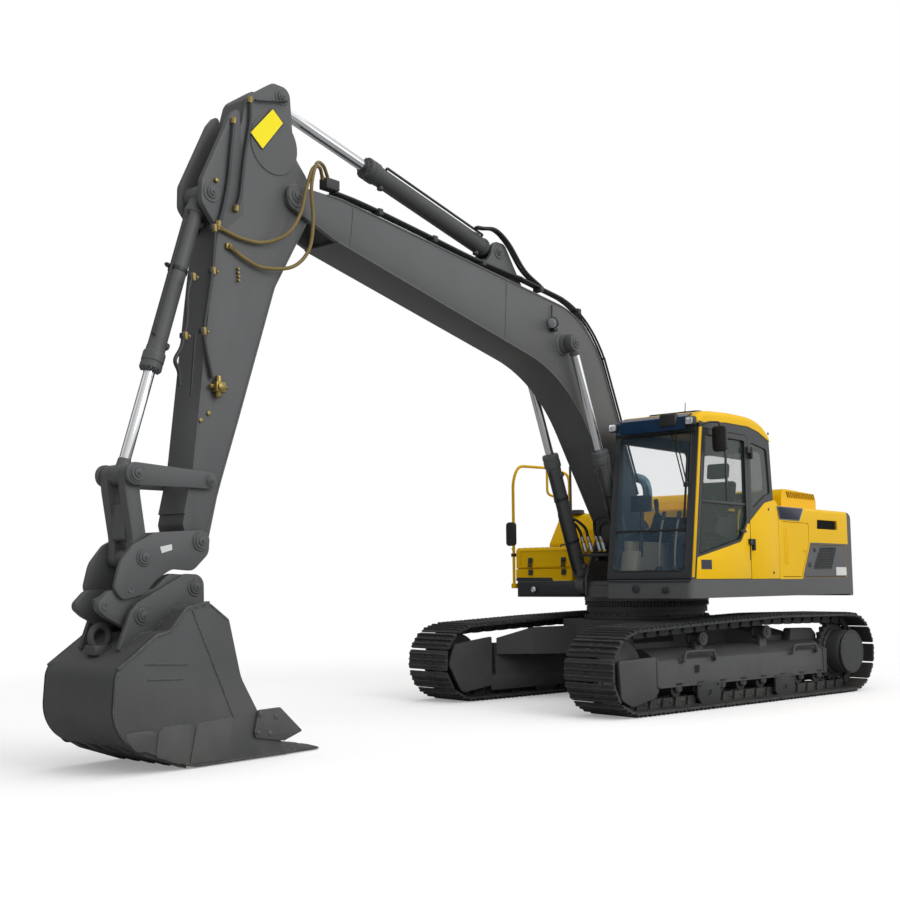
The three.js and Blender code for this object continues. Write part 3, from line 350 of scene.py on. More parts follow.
def refined(node, finish, edge=0.006, segments=2, smooth=32):
    # A merged copy of a CAD node: flat faces joined, every sharp edge eased by a bevel.
    mesh = frame["nodes"][node].data.copy()
    custom = mesh.attributes.get("custom_normal")
    if custom:
        mesh.attributes.remove(custom)
    shape = bmesh.new()
    shape.from_mesh(mesh)
    bmesh.ops.remove_doubles(shape, verts=shape.verts, dist=0.00002)
    bmesh.ops.dissolve_limit(shape, angle_limit=math.radians(0.7), verts=shape.verts, edges=shape.edges)
    shape.to_mesh(mesh)
    shape.free()
    mesh.materials.clear()
    piece = newPiece(node + "_finished", mesh, finish, frame["nodes"][node]["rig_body"], smooth)
    bevel = piece.modifiers.new("eased edges", "BEVEL")
    bevel.width = edge
    bevel.segments = segments
    bevel.limit_method = "ANGLE"
    bevel.angle_limit = math.radians(smooth)
    bevel.harden_normals = True
    bevel.miter_outer = "MITER_ARC"
    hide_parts(node)
    return piece


# ---- finishes

def linear(hexColour):
    # The written screen colour as linear light.
    value = np.array([int(hexColour[k:k + 2], 16) for k in (0, 2, 4)]) / 255
    return (*np.where(value < 0.04045, value / 12.92, ((value + 0.055) / 1.055)**2.4).tolist(), 1.0)


def addNode(tree, kind, values=None, **settings):
    node = tree.nodes.new("ShaderNode" + kind)
    for key, value in settings.items():
        setattr(node, key, value)
    for key, value in (values or {}).items():
        if isinstance(value, bpy.types.NodeSocket):
            tree.links.new(value, node.inputs[key])
        else:
            node.inputs[key].default_value = value
    return node


def times(tree, first, second, **settings):
    return addNode(tree, "Math", {0: first, 1: second}, operation="MULTIPLY", **settings)


def blended(tree, share, first, second):
    # Two colours mixed by a share.
    return addNode(tree, "Mix", {0: share, 6: first, 7: second}, data_type="RGBA").outputs[2]


def noise(tree, place, **values):
    return addNode(tree, "TexNoise", {"Vector": place.outputs["Vector"], **values})


def ranged(tree, value, start, end, low=0.0, high=1.0):
    return addNode(tree, "MapRange", {"Value": value, "From Min": start, "From Max": end, "To Min": low,
        "To Max": high}).outputs[0]


def newGroup(name, inputs, outputs):
    # A group of shader nodes: an input without a value is a vector, all other sockets are numbers.
    group = bpy.data.node_groups.new(name, "ShaderNodeTree")
    for key, value in inputs.items():
        kind = "NodeSocketVector" if value is None else "NodeSocketFloat"
        socket = group.interface.new_socket(key, in_out="INPUT", socket_type=kind)
        if value is not None:
            socket.default_value = value
    for key in outputs:
        group.interface.new_socket(key, in_out="OUTPUT", socket_type="NodeSocketFloat")
    return group, group.nodes.new("NodeGroupInput"), group.nodes.new("NodeGroupOutput")


def buildGrain():
    # Broad patches, fine speckle and a height made from both, from noise at three scales.
    group, given, out = newGroup("surfaceGrain", {"Vector": None, "Scale": 120.0, "Speckle": 0.5},
        ["Broad", "Fine", "Height"])
    broad = noise(group, given, Scale=1.7, Detail=5.0, Roughness=0.6)
    fine = noise(group, given, Scale=given.outputs["Scale"], Detail=3.0)
    wave = noise(group, given, Scale=14.0, Detail=2.0)
    mixed = addNode(group, "Mix", {0: given.outputs["Speckle"], 2: wave.outputs["Fac"], 3: fine.outputs["Fac"]})
    group.links.new(broad.outputs["Fac"], out.inputs["Broad"])
    group.links.new(fine.outputs["Fac"], out.inputs["Fine"])
    group.links.new(mixed.outputs[0], out.inputs["Height"])
    return group


def buildEdgeWear():
    # Where a rounded-off normal leaves the true one there is an edge; noise breaks the worn line up.
    group, given, out = newGroup("edgeWear", {"Vector": None, "Radius": 0.006, "Amount": 0.5}, ["Mask"])
    soft = addNode(group, "Bevel", {"Radius": given.outputs["Radius"]}, samples=4)
    plain = addNode(group, "NewGeometry")
    same = addNode(group, "VectorMath", {0: soft.outputs[0], 1: plain.outputs["Normal"]}, operation="DOT_PRODUCT")
    edge = ranged(group, same.outputs["Value"], 0.985, 0.80)
    grain = noise(group, given, Scale=38.0, Detail=4.0)
    broken = ranged(group, grain.outputs["Fac"], 0.42, 0.62)
    both = times(group, edge, broken)
    level = times(group, both.outputs[0], given.outputs["Amount"], use_clamp=True)
    group.links.new(level.outputs[0], out.inputs["Mask"])
    return group


def buildDust():
    # Faces that look up gather dust, and so does what lies close to the ground; noise makes it patchy.
    group, given, out = newGroup("dustLayer", {"Vector": None, "Top": 0.2, "Low": 0.2, "Reach": 0.9}, ["Mask"])
    plain = addNode(group, "NewGeometry")
    up = addNode(group, "SeparateXYZ", {0: plain.outputs["Normal"]})
    upward = ranged(group, up.outputs["Z"], 0.35, 1.0)
    place = addNode(group, "SeparateXYZ", {0: given.outputs["Vector"]})
    low = ranged(group, place.outputs["Z"], given.outputs["Reach"], 0.0)
    patch = noise(group, given, Scale=5.0, Detail=8.0, Roughness=0.65)
    patchy = ranged(group, patch.outputs["Fac"], 0.36, 0.72)
    first = times(group, upward, given.outputs["Top"])
    second = times(group, low, given.outputs["Low"])
    total = addNode(group, "Math", {0: first.outputs[0], 1: second.outputs[0]}, operation="ADD")
    level = times(group, total.outputs[0], patchy, use_clamp=True)
    group.links.new(level.outputs[0], out.inputs["Mask"])
    return group


grainGroup, wearGroup, dustGroup = buildGrain(), buildEdgeWear(), buildDust()
dustColour = linear("8d8578")


def makeFinish(name, slot, colour, roughness, metallic=0.0, coat=0.0, shade=0.12, scale=120.0, speckle=0.5, bump=0.05,
        depth=0.001, wear=0.0, wearColour="9a9c9e", wearRadius=0.006, top=0.0, low=0.0, reach=0.9, spread=0.08,
        specular=0.5, **extra):
    # Paint or metal: a base colour that varies a little, worn edges, dust, and a fine surface grain.
    finish = bpy.data.materials.new(name)
    finish["slot"] = slot
    finish.use_nodes = True
    tree = finish.node_tree
    shader = tree.nodes["Principled BSDF"]
    place = addNode(tree, "TexCoord").outputs["Object"]
    grain = addNode(tree, "Group", {"Vector": place, "Scale": scale, "Speckle": speckle}, node_tree=grainGroup)
    base = linear(colour)
    dark = (*[v * (1 - shade * 2) for v in base[:3]], 1)
    light = (*[min(1, v * (1 + shade)) for v in base[:3]], 1)
    current = blended(tree, grain.outputs["Broad"], dark, light)
    if wear:
        mask = addNode(tree, "Group", {"Vector": place, "Radius": wearRadius, "Amount": wear}, node_tree=wearGroup)
        current = blended(tree, mask.outputs[0], current, linear(wearColour))
    if top or low:
        mask = addNode(tree, "Group", {"Vector": place, "Top": top, "Low": low, "Reach": reach}, node_tree=dustGroup)
        current = blended(tree, mask.outputs[0], current, dustColour)
    tree.links.new(current, shader.inputs["Base Color"])
    gloss = ranged(tree, grain.outputs["Fine"], 0.3, 0.7, max(0.02, roughness - spread), min(1, roughness + spread))
    tree.links.new(gloss, shader.inputs["Roughness"])
    relief = addNode(tree, "Bump", {"Strength": bump, "Distance": depth, "Height": grain.outputs["Height"]})
    tree.links.new(relief.outputs[0], shader.inputs["Normal"])
    shader.inputs["Metallic"].default_value = metallic
    shader.inputs["Coat Weight"].default_value = coat
    shader.inputs["Specular IOR Level"].default_value = specular
    for key, value in extra.items():
        shader.inputs[key.replace("_", " ")].default_value = value
    return finish


yellowPaint = makeFinish("machine yellow", "yellow_paint", "edbc00", 0.40, coat=0.02, shade=0.03, scale=260.0,
    bump=0.06, wear=0.2, wearColour="c79a2a", wearRadius=0.004, specular=0.12)
signYellow = makeFinish("sign yellow", "yellow_paint", "fbe81a", 0.35, shade=0.02, scale=400.0, bump=0.02,
    specular=0.2)
greyPaint = makeFinish("machine grey", "grey_paint", "595a5b", 0.46, shade=0.09, scale=240.0, bump=0.08, wear=0.5,
    wearColour="85878a", wearRadius=0.007, top=0.06, low=0.06, specular=0.3)
bucketPaint = makeFinish("bucket grey", "grey_paint", "4f5051", 0.50, shade=0.11, scale=180.0, bump=0.12, wear=0.7,
    wearColour="8b8c8c", wearRadius=0.008, top=0.06, low=0.16, reach=0.7, specular=0.3)
blackPaint = makeFinish("frame black", "black_paint", "4c4d4e", 0.50, shade=0.12, scale=200.0, bump=0.10, wear=0.4,
    wearColour="777879", top=0.08, low=0.12, specular=0.28)
cabBlack = makeFinish("cab black", "black_paint", "303235", 0.40, coat=0.05, shade=0.07, scale=240.0, bump=0.06,
    wear=0.2, wearColour="55585b", wearRadius=0.004, specular=0.35)
castDark = makeFinish("dark casting", "cast_dark", "3f4041", 0.52, shade=0.14, scale=90.0, speckle=0.8, bump=0.35,
    wear=0.5, wearColour="808284", top=0.06, specular=0.3)
trackSteel = makeFinish("track steel", "track_steel", "3f4041", 0.52, metallic=0.35, shade=0.16, scale=110.0,
    speckle=0.8, bump=0.30, wear=0.8, wearColour="8b8e92", wearRadius=0.005, top=0.08, low=0.2, specular=0.3)
chromeRod = makeFinish("chrome rod", "chrome_rod", "dadcde", 0.11, metallic=1.0, shade=0.03, scale=400.0, bump=0.02,
    spread=0.03)
bareSteel = makeFinish("zinc steel", "bare_steel", "a9adb0", 0.32, metallic=0.9, shade=0.08, scale=300.0, bump=0.10)
brass = makeFinish("brass fitting", "bare_steel", "9a8650", 0.33, metallic=0.85, shade=0.10, scale=260.0, bump=0.10)
hoseRubber = makeFinish("hose rubber", "console_plastic", "1d1e20", 0.55, shade=0.12, scale=500.0, speckle=0.9,
    bump=0.25)
hoseSleeve = makeFinish("hose sleeve", "console_plastic", "7d6a38", 0.60, shade=0.22, scale=520.0, speckle=0.9,
    bump=0.5)
plastic = makeFinish("black plastic", "console_plastic", "1b1c1e", 0.45, shade=0.08, scale=600.0, speckle=0.9,
    bump=0.25)
consoleGrey = makeFinish("console grey", "console_plastic", "857f6e", 0.55, shade=0.08, scale=600.0, speckle=0.9,
    bump=0.3)
exhaustSteel = makeFinish("exhaust steel", "bare_steel", "5d7480", 0.30, metallic=0.75, shade=0.14, scale=200.0)
redPlastic = makeFinish("red plastic", "console_plastic", "b3201d", 0.4, shade=0.06, scale=500.0)
badgeBlue = makeFinish("blank badge", "console_plastic", "1a2338", 0.35, metallic=0.3, shade=0.06, scale=400.0)
plateWhite = makeFinish("blank plate", "console_plastic", "d9dbd9", 0.4, shade=0.04, scale=400.0)
# painted shade: near-black sheets stand in for the shade in holes, slots, vents and recesses; the monitor's dark
# screen uses it too
shadeAndScreenBlack = makeFinish("shadow black", "console_plastic", "08090a", 0.8, shade=0.10, scale=200.0)


def makeGlass(name, slot, colour, alpha, roughness=0.03, **extra):
    # Thin tinted glass: mostly open, with a coloured gloss over what lies behind it.
    finish = makeFinish(name, slot, colour, roughness, shade=0.02, scale=8.0, speckle=0.0, bump=0.01, spread=0.01,
        **extra)
    finish.node_tree.nodes["Principled BSDF"].inputs["Alpha"].default_value = alpha
    return finish


cabGlass = makeGlass("cab glass", "clear_glass", "7ea6c2", 0.07)
sideGlass = makeGlass("side glass", "clear_glass", "3f4f48", 0.26)
rearTint = makeGlass("rear quarter tint", "clear_glass", "3a443e", 0.72)
blindTint = makeGlass("blind tint", "clear_glass", "2f3735", 0.80)
visorTint = makeGlass("visor tint", "clear_glass", "16324f", 0.86)
lampLens = makeGlass("lamp lens", "clear_glass", "dfe3e6", 1.0, 0.12, metallic=0.7)
mirrorFace = makeFinish("mirror face", "chrome_rod", "c9d2d8", 0.04, metallic=1.0, shade=0.02, scale=300.0, bump=0.01,
    spread=0.01)
print("finishes made")

# ---- camera, floor and light

view = {"eye": (7311, -11930, 1262), "yaw": 40.4496, "pitch": 6.1011, "roll": -0.4381, "lens": 49.2365}


def buildCamera():
    yaw, pitch, roll = (math.radians(view[key]) for key in ("yaw", "pitch", "roll"))
    ahead = np.array([-math.sin(yaw) * math.cos(pitch), math.cos(yaw) * math.cos(pitch), math.sin(pitch)])
    right = np.array([math.cos(yaw), math.sin(yaw), 0])
    up = np.cross(right, ahead)
    turnedRight = math.cos(roll) * right + math.sin(roll) * up
    turnedUp = math.cos(roll) * up - math.sin(roll) * right
    data = bpy.data.cameras.new("camera")
    data.lens, data.sensor_width, data.clip_end = view["lens"], 36, 400
    camera = newObject("camera", data)
    camera.matrix_world = Matrix(np.vstack([np.column_stack([turnedRight, turnedUp, -ahead, house(view["eye"])]),
        [0, 0, 0, 1]]).tolist())
    bpy.context.scene.camera = camera


def seenDirectly(tree):
    # 1 for rays straight from the camera or through glass, else 0.
    path = addNode(tree, "LightPath")
    return addNode(tree, "Math", {0: path.outputs["Is Camera Ray"], 1: path.outputs["Is Transmission Ray"]},
        operation="MAXIMUM").outputs[0]


studio = {"floor": 60.0, "fade": (5.6, 9.5), "paper": 0.85, "bounce": 0.4, "lift": 0.25, "sky": 0.55, "slope": 0.55,
    "bright": (0.84, 0.25, 0.48), "lamps": [("key lamp", (13.0, -2.0, 9.0), 610.0, 8.0),
    ("front lamp", (-6.0, -13.0, 8.0), 85.0, 7.0), ("tail lamp", (11.0, 8.0, 7.0), 90.0, 7.0),
    ("top lamp", (0.0, 0.0, 13.0), 150.0, 9.0)]}


def buildStudio():
    scene = bpy.context.scene
    scene.view_settings.view_transform = "Standard"
    world = bpy.data.worlds.new("studio")
    scene.world = world
    world.use_nodes = True
    tree = world.node_tree
    background = tree.nodes["Background"]
    background.inputs["Color"].default_value = (1, 1, 1, 1)
    # the sky glows most towards one side, like a large soft box; the camera sees plain white
    towards = addNode(tree, "VectorMath", {0: addNode(tree, "TexCoord").outputs["Object"], 1: studio["bright"]},
        operation="DOT_PRODUCT")
    glow = addNode(tree, "Math", {0: towards.outputs["Value"], 1: studio["slope"], 2: studio["sky"]},
        operation="MULTIPLY_ADD", use_clamp=False)
    some = addNode(tree, "Math", {0: glow.outputs[0], 1: 0.02}, operation="MAXIMUM")
    level = addNode(tree, "Mix", {0: seenDirectly(tree), 2: some.outputs[0], 3: 1.0}, data_type="FLOAT")
    tree.links.new(level.outputs[0], background.inputs["Strength"])

    half = studio["floor"]
    mesh = bpy.data.meshes.new("floor")
    mesh.from_pydata(rect(-half, half, -half, half, -0.0015), [], [(0, 1, 2, 3)])
    newObject("floor", mesh)
    paper = bpy.data.materials.new("studio paper")
    paper.use_nodes = True
    tree = paper.node_tree
    tree.nodes.clear()
    direct = seenDirectly(tree)
    place = addNode(tree, "TexCoord").outputs["Object"]
    distance = addNode(tree, "VectorMath", {0: place}, operation="LENGTH")
    far = ranged(tree, distance.outputs["Value"], studio["fade"][0], studio["fade"][1])
    share = times(tree, far, direct)
    shade = blended(tree, direct, (studio["bounce"],) * 3 + (1,), (studio["paper"],) * 3 + (1,))
    lit = addNode(tree, "BsdfDiffuse", {"Color": shade})
    lift = times(tree, direct, studio["lift"])
    glowing = addNode(tree, "Emission", {"Color": (1, 1, 1, 1), "Strength": lift.outputs[0]})
    near = addNode(tree, "AddShader", {0: lit.outputs[0], 1: glowing.outputs[0]})
    white = addNode(tree, "Emission", {"Color": (1, 1, 1, 1), "Strength": 1.0})
    mix = addNode(tree, "MixShader", {0: share.outputs[0], 1: near.outputs[0], 2: white.outputs[0]})
    addNode(tree, "OutputMaterial", {"Surface": mix.outputs[0]})
    mesh.materials.append(paper)

    for name, place, power, size in studio["lamps"]:
        data = bpy.data.lights.new(name, "AREA")
        data.energy, data.size = power, size
        lamp = newObject(name, data)
        lamp.location = place
        lamp.rotation_euler = (Vector((0, 0, 1.5)) - Vector(place)).to_track_quat("-Z", "Y").to_euler()


buildCamera()
buildStudio()
print("camera and studio set")

# ---- tracks and track frames, in the undercarriage's own axes

track = {"gauge": 2263, "shoes": 50, "pinDepth": 84, "idler": (-1880, 410), "sprocket": (1895, 445),
    "carriers": [(-610, 872), (510, 903)], "chainDepth": 125}


def trackLine(depth):
    # The loop's outline moved in by depth: an arc round the idler, the carriers, an arc round the sprocket.
    front, rear = np.radians(np.linspace(272, 93, 90)), np.radians(np.linspace(89, -88, 90))
    (frontY, frontR), (rearY, rearR) = track["idler"], track["sprocket"]
    return np.concatenate([np.stack([frontY + (frontR - depth) * np.cos(front), frontR
        + (frontR - depth) * np.sin(front)], 1), np.array([(y, top - depth) for y, top in track["carriers"]], float),
        np.stack([rearY + (rearR - depth) * np.cos(rear), rearR + (rearR - depth) * np.sin(rear)], 1)])


def buildTrack(hand, outward):
    # Pins stand at equal steps along the chain's line; each shoe lies along one step.
    line = trackLine(track["pinDepth"])
    ring = np.concatenate([line, line[:1]])
    length = np.concatenate([[0], np.cumsum(np.linalg.norm(np.diff(ring, axis=0), axis=1))])
    at = (np.arange(track["shoes"]) + 0.35) * length[-1] / track["shoes"]
    pins = np.stack([np.interp(at, length, ring[:, 0]), np.interp(at, length, ring[:, 1])], 1)
    ahead = np.roll(pins, -1, 0) - pins
    step = np.linalg.norm(ahead, axis=1).max()
    along = unit(ahead)
    middle = outward * track["gauge"] / 2
    count = track["shoes"]
    origins = np.column_stack([np.full(count, middle), (pins + ahead / 2)])
    firsts = np.column_stack([np.zeros(count), along])
    seconds = np.column_stack([np.zeros(count), -along[:, 1], along[:, 0]])
    reach = step / 2

    # Three raised bars across a thin plate whose edges turn up and down to overlap the next shoe.
    profile = np.array([(-reach - 4, 40), (-reach - 6, 52), (-reach + 6, 60), (-reach + 20, 58), (-70, 60), (-66, 81),
        (-62, 84), (-57, 81), (-51, 60), (-10, 59), (-5, 81), (0, 84), (5, 81), (10, 59), (51, 60), (57, 81), (62, 84),
        (66, 81), (70, 60), (reach - 8, 57), (reach + 2, 50), (reach - 2, 42)])
    low = profile.copy()
    low[:, 1] = np.minimum(low[:, 1], 70)
    low[:, 0] *= 0.94
    stations = [(-300, low), (-284, profile), (284, profile), (300, low)]
    shoe = loft([atX(x, ring) for x, ring in stations])
    bolts = merged([turned((x, s, 57), (0, 0, 1), [(0, 15), (9, 15), (12, 11)], 6) for x in (-72, -46, 46, 72)
        for s in (-30, 30)])
    outer = plate([(-reach - 26, 8, 24), (-reach - 26, -34, 30), (-reach + 30, -40, 16), (16, -41, 14), (30, 30, 10),
        (24, 44), (-reach + 22, 44, 10)], 62, 85, "x", 0, 30)
    inner = plate([(reach + 26, 8, 24), (reach + 26, -34, 30), (reach - 30, -40, 16), (-16, -41, 14), (-30, 30, 10),
        (-24, 44), (reach - 22, 44, 10)], 40, 63, "x", 0, 30)
    pin = barX((reach, 0), 20, -90, 90, 3, 10)
    links = merged([outer, acrossX(outer), inner, acrossX(inner)])
    underPiece(f"track_shoes_{hand}", [repeated(shoe, origins, firsts, seconds),
        repeated(bolts, origins, firsts, seconds)], trackSteel, [f"track_{hand}"], 30)
    underPiece(f"track_chain_{hand}", [repeated(links, origins, firsts, seconds),
        repeated(pin, origins, firsts, seconds)], trackSteel)


frameSizes = {"front": -1410, "rear": 1560, "rollerZ": 201.3, "rollers": (-1440, 1420, 9),
    "guides": ((-800, -430, 32), (545, 905, 9)), "outerGuard": [(-1985, 515, 30), (-1430, 530, 16), (-1435, 145, 20),
    (-1790, 75, 90), (-1950, 155, 60)], "innerGuard": [(-2045, 605, 40), (-1500, 665, 16), (-1500, 145, 20),
    (-1940, 87, 80), (-2125, 390, 60)], "steps": ((-1050, -1010, -560, -520, 560), (850, 890, 1295, 1335, 550))}


def atTrack(parts, outward):
    # Shapes written for a left track frame round x = 0, set at their own track.
    shift = (outward * track["gauge"] / 2, 0, 0)
    return [moved(part if outward > 0 else acrossX(part), shift) for part in parts]


def buildTrackFrame(hand, outward):
    # A folded beam, guards, carriers, bottom rollers with their brackets, chain guides and steps.
    f = frameSizes
    section = np.array([(130, 236), (130, 478), (122, 490), (20, 556), (-55, 590), (-150, 590), (-165, 236),
        (-114, 236), (-114, 286), (114, 286), (114, 236)], float)
    ys = np.array([f["front"], f["front"] + 6, f["rear"] - 150, f["rear"]])
    beam = loft(np.stack([np.column_stack([section[:, 0], np.full(11, y), section[:, 1]]) for y in ys]))
    parts = [beam, plate(f["outerGuard"], 98, 140, "x", 9)]
    parts += [plate([(-1431, 240, 5), (-1400, 240, 5), (-1400, 500, 5), (-1431, 510, 5)], 100, 143, "x", 3),
        plate(f["innerGuard"], -205, -165, "x", 9)]
    # a wall on the inner side closes the view between the two runs, and a cover over the drive's front
    parts += [plate([(1130, 470, 10), (1660, 470, 20), (1690, 640, 50), (1600, 712, 50), (1180, 720, 40)], -160, -60,
        "x", 8), plate([(-1480, 88, 20), (1560, 88, 20), (1600, 250, 10), (-1480, 250, 10)], -172, -150, "x", 4),
        plate(rect(-1380, 1556, 226, 240, 4), 96, 140, "x", 3), plate([(1500, 236, 20), (1560, 224, 20),
        (1572, 490, 20), (1490, 500, 20)], 118, 142, "x", 5)]
    # final drive side plate, inside
    parts.append(plate([(1490, 236, 10), (1955, 256, 120), (2045, 445, 110), (1935, 615, 110), (1500, 500, 20)], -160,
        -66, "x", 8))
    for y, top in track["carriers"]:
        z = top - track["chainDepth"] - 4 - 70
        parts += [plate([(y - 78, 484, 4), (y + 78, 484, 4), (y + 48, z, 40), (y - 48, z, 40)], -30, 30, "x", 6),
            turned((-88, y, z), (1, 0, 0), [(0, 30), (0, 68), (6, 70), (30, 70), (34, 60), (50, 56), (126, 56),
            (142, 60), (146, 70), (170, 70), (176, 66), (176, 40), (186, 36), (186, 0)], 28),
            boltCircle((98, y, z), (1, 0, 0), 18, 3, 6, 5), block((-70, 70), (y - 90, y + 90), (500, 520), 4)]
    first, last, count = f["rollers"]
    ys = np.linspace(first, last, count)
    roller = merged([turned((-112, 0, 0), (1, 0, 0), [(0, 32), (16, 34), (18, 58), (24, 76), (34, 76), (38, 68),
        (80, 64), (84, 60), (140, 60), (144, 64), (186, 68), (190, 76), (200, 76), (206, 58), (208, 34), (240, 32),
        (244, 28)], 24), *(plate([(-62, 66, 6), (-44, -24, 24), (44, -24, 24), (62, 66, 6)], x, x + 18, "x",
        4) for x in (112, -130)), bolt((130, -34, 34), (1, 0, 0), 9, 8), bolt((130, 34, 34), (1, 0, 0), 9, 8),
        turned((128, 0, 0), (1, 0, 0), [(0, 26), (8, 24), (9, 0)], 16)])
    axes = np.tile([0, 1, 0], (count, 1)).astype(float), np.tile([0, 0, 1], (count, 1)).astype(float)
    rollers = repeated(roller, np.column_stack([np.zeros(count), ys, np.full(count, f["rollerZ"])]), *axes)
    guides = []
    for y0, y1, low in f["guides"]:
        y = (y0 + y1) / 2
        wide = (y1 - y0) / 2
        shape = [(y - wide, 250, 6), (y - wide, low + 70, 20), (y - wide + 60, low, 24), (y + wide - 60, low, 24),
            (y + wide, low + 70, 20), (y + wide, 250, 6)]
        guides += [*(plate(shape, x, x + 28, "x", 6) for x in (118, -150)), turned((145, y, low + 110), (1, 0, 0),
            [(0, 40), (5, 40), (5, 32), (1, 30), (1, 0)], 24)]
        guides += [bolt((146, y + side * (wide - 34), 224), (1, 0, 0), 12, 9) for side in (-1, 1)]
    steps = []
    for y0, y1, y2, y3, z in f["steps"]:
        steps += [pipe([(128, y0, 462), (166, y0 + 6, 470), (166, y1, z), (166, y2, z), (166, y3 - 6, 470),
            (128, y3, 462)], 15, 12, 24)]
        steps += [turned((130, y, 476), (1, 0, 0), [(0, 30), (8, 28), (9, 0)], 16) for y in (y0, y3)]
        steps += [bolt((137, y, 476), (1, 0, 0), 10, 8) for y in (y0, y3)]
    # painted shade: a near-black sheet stands in for the shade inside a hole in the frame's side, with a rim round it
    hole = [plate(rect(-833, -757, 348, 420, 18), 129, 131.5, "x", 0)]
    rim = [swept(np.column_stack([np.full(40, 131), rounded(rect(-838, -752, 343, 425, 20), 10)[:40]]), 4, 6, True)]
    underPiece(f"track_frame_beam_{hand}", atTrack(parts, outward), blackPaint, [f"track_frame_{hand}"])
    underPiece(f"bottom_rollers_{hand}", atTrack([rollers] + guides, outward), castDark)
    underPiece(f"frame_steps_{hand}", atTrack(steps + rim, outward), blackPaint)
    underPiece(f"frame_hole_shade_{hand}", atTrack(hole, outward), shadeAndScreenBlack)


def buildWheels(hand, outward):
    # The idler is turned; the sprocket's rim is a circle whose radius swings with each tooth.
    frontY, frontR = track["idler"]
    rearY, rearR = track["sprocket"]
    tread = frontR - track["chainDepth"] - 3
    idler = [turned((-99, frontY, frontR), (1, 0, 0), [(0, 40), (0, 70), (10, 76), (17, 90), (17, tread - 60),
        (14, tread - 46), (14, tread), (36, tread), (42, tread + 16), (156, tread + 16), (162, tread), (184, tread),
        (184, tread - 46), (181, tread - 60), (181, 90), (188, 76), (198, 70), (198, 40)], 64)]
    teeth, toothHalf = 23, 16
    a = np.linspace(0, 2 * math.pi, teeth * 10, endpoint=False)
    rim = rearR - track["chainDepth"] - 4 + toothHalf * np.clip(1.6 * np.cos(a * teeth), -1, 1)
    toothed = np.stack([rearY + rim * np.cos(a), rearR + rim * np.sin(a)], 1)
    disc = [plate(toothed, -30, 34, "x", 5), turned((30, rearY, rearR), (1, 0, 0), [(0, 262), (26, 262), (36, 252),
        (40, 246), (150, 240), (176, 236), (196, 226), (214, 206), (222, 180), (226, 100), (230, 90), (231, 0)], 72),
        boltCircle((58, rearY, rearR), (1, 0, 0), 254, 24, 9, 8), turned((-64, rearY, rearR), (1, 0, 0),
        [(0, 150), (30, 168), (34, 230), (36, 0)], 48), turned((-150, rearY, rearR), (1, 0, 0),
        [(0, 90), (20, 118), (90, 124), (90, 0)], 40)]
    disc += [turned((252, rearY, rearR), (1, 0, 0), [(-30, 222), (-4, 238), (10, 240), (16, 234), (18, 0)], 72),
        boltCircle((268, rearY, rearR), (1, 0, 0), 222, 26, 8, 6)]
    caps = [boltCircle((259, rearY, rearR), (1, 0, 0), 150, 3, 9, 6), turned((258, rearY, rearR + 60), (1, 0, 0),
        [(0, 18), (8, 16), (9, 0)], 12)]
    underPiece(f"idler_wheel_{hand}", atTrack(idler, outward), trackSteel, [f"idler_{hand}"])
    underPiece(f"drive_wheel_{hand}", atTrack(disc + caps, outward), castDark, [f"sprocket_{hand}"])


def buildCentreFrame():
    refined("center_frame", blackPaint, 0.010, 3)
    ring = [turned((0, 0, 842), (0, 0, 1), [(0, 655), (4, 690), (34, 690), (40, 684), (40, 640)], 96),
        turned((0, 0, 920), (0, 0, 1), [(0, 600), (2, 664), (60, 664), (64, 655), (64, 600)], 96),
        boltCircle((0, 0, 882), (0, 0, 1), 668, 36, 13, 12), block((-130, 130), (-702, -686), (560, 760), 4),
        block((-90, 90), (-712, -700), (600, 720), 4)]
    teeth, middleRadius, toothHalf = 120, 672, 9
    a = np.linspace(0, 2 * math.pi, teeth * 6, endpoint=False)
    radius = middleRadius + toothHalf * np.clip(1.5 * np.cos(a * teeth), -1, 1)
    ring.append(plate(np.stack([radius * np.cos(a), radius * np.sin(a)], 1), 990, 1036, "z", 0))
    underPiece("slew_ring_teeth", ring, castDark)


for hand, outward in (("left", 1), ("right", -1)):
    buildTrack(hand, outward)
    buildTrackFrame(hand, outward)
    buildWheels(hand, outward)
buildCentreFrame()
print("undercarriage made")

# ---- working gear

gear = {"middle": -50, "boomHalf": 205, "stickHalf": 155, "bucketHalf": 420, "boomFoot": (-390, 1780),
    "boomTip": (-5402, 4352), "liftFoot": (-700, 1215), "liftPin": (-1738, 3666), "liftSpread": 312,
    "crowdBase": (-2660, 4465), "crowdPin": (-5529, 5150), "stickTip": (-6314, 1567), "curlBase": (-6225, 4194),
    "guidePin": (-6231, 2010), "linkTop": (-6870, 2027), "linkFoot": (-6801, 1446), "bucketPinFront": (-6393, 1240),
    "bucketPinRear": (-6837, 1050)}
mid = gear["middle"]


def band(path, inner, half, thick, edge=3):
    # A flat strip carried along a path in the side view: its section is a rectangle with eased corners.
    path = np.asarray(path, float)
    slope = unit(np.gradient(path, axis=0))
    normal = np.stack([-slope[:, 1], slope[:, 0]], 1) * inner
    section = rounded(rect(-half, half, 0, thick, edge), 45)
    x = np.tile(mid + section[:, 0], (len(path), 1))
    inPlane = path[:, None] + section[None, :, 1:2] * normal[:, None]
    return loft(np.dstack([x, inPlane]))


def onBoth(part):
    return moved(bothSides(part), (mid, 0, 0))


def across(hand, start, end):
    # A span along x on one side of the gear's middle.
    return sorted((mid + hand * start, mid + hand * end))


def pinCap(centre, face, outward, radius=52):
    # A pin's round end plate with its keeper bolts.
    parts = [turned((face, *centre), (outward, 0, 0), [(0, radius), (8, radius), (12, radius - 4), (12, radius * 0.62),
        (20, radius * 0.6), (22, radius * 0.52), (22, 0)], 36)]
    parts.append(bolt((face + outward * 22, *centre), (outward, 0, 0), radius * 0.2, 8))
    return merged(parts)


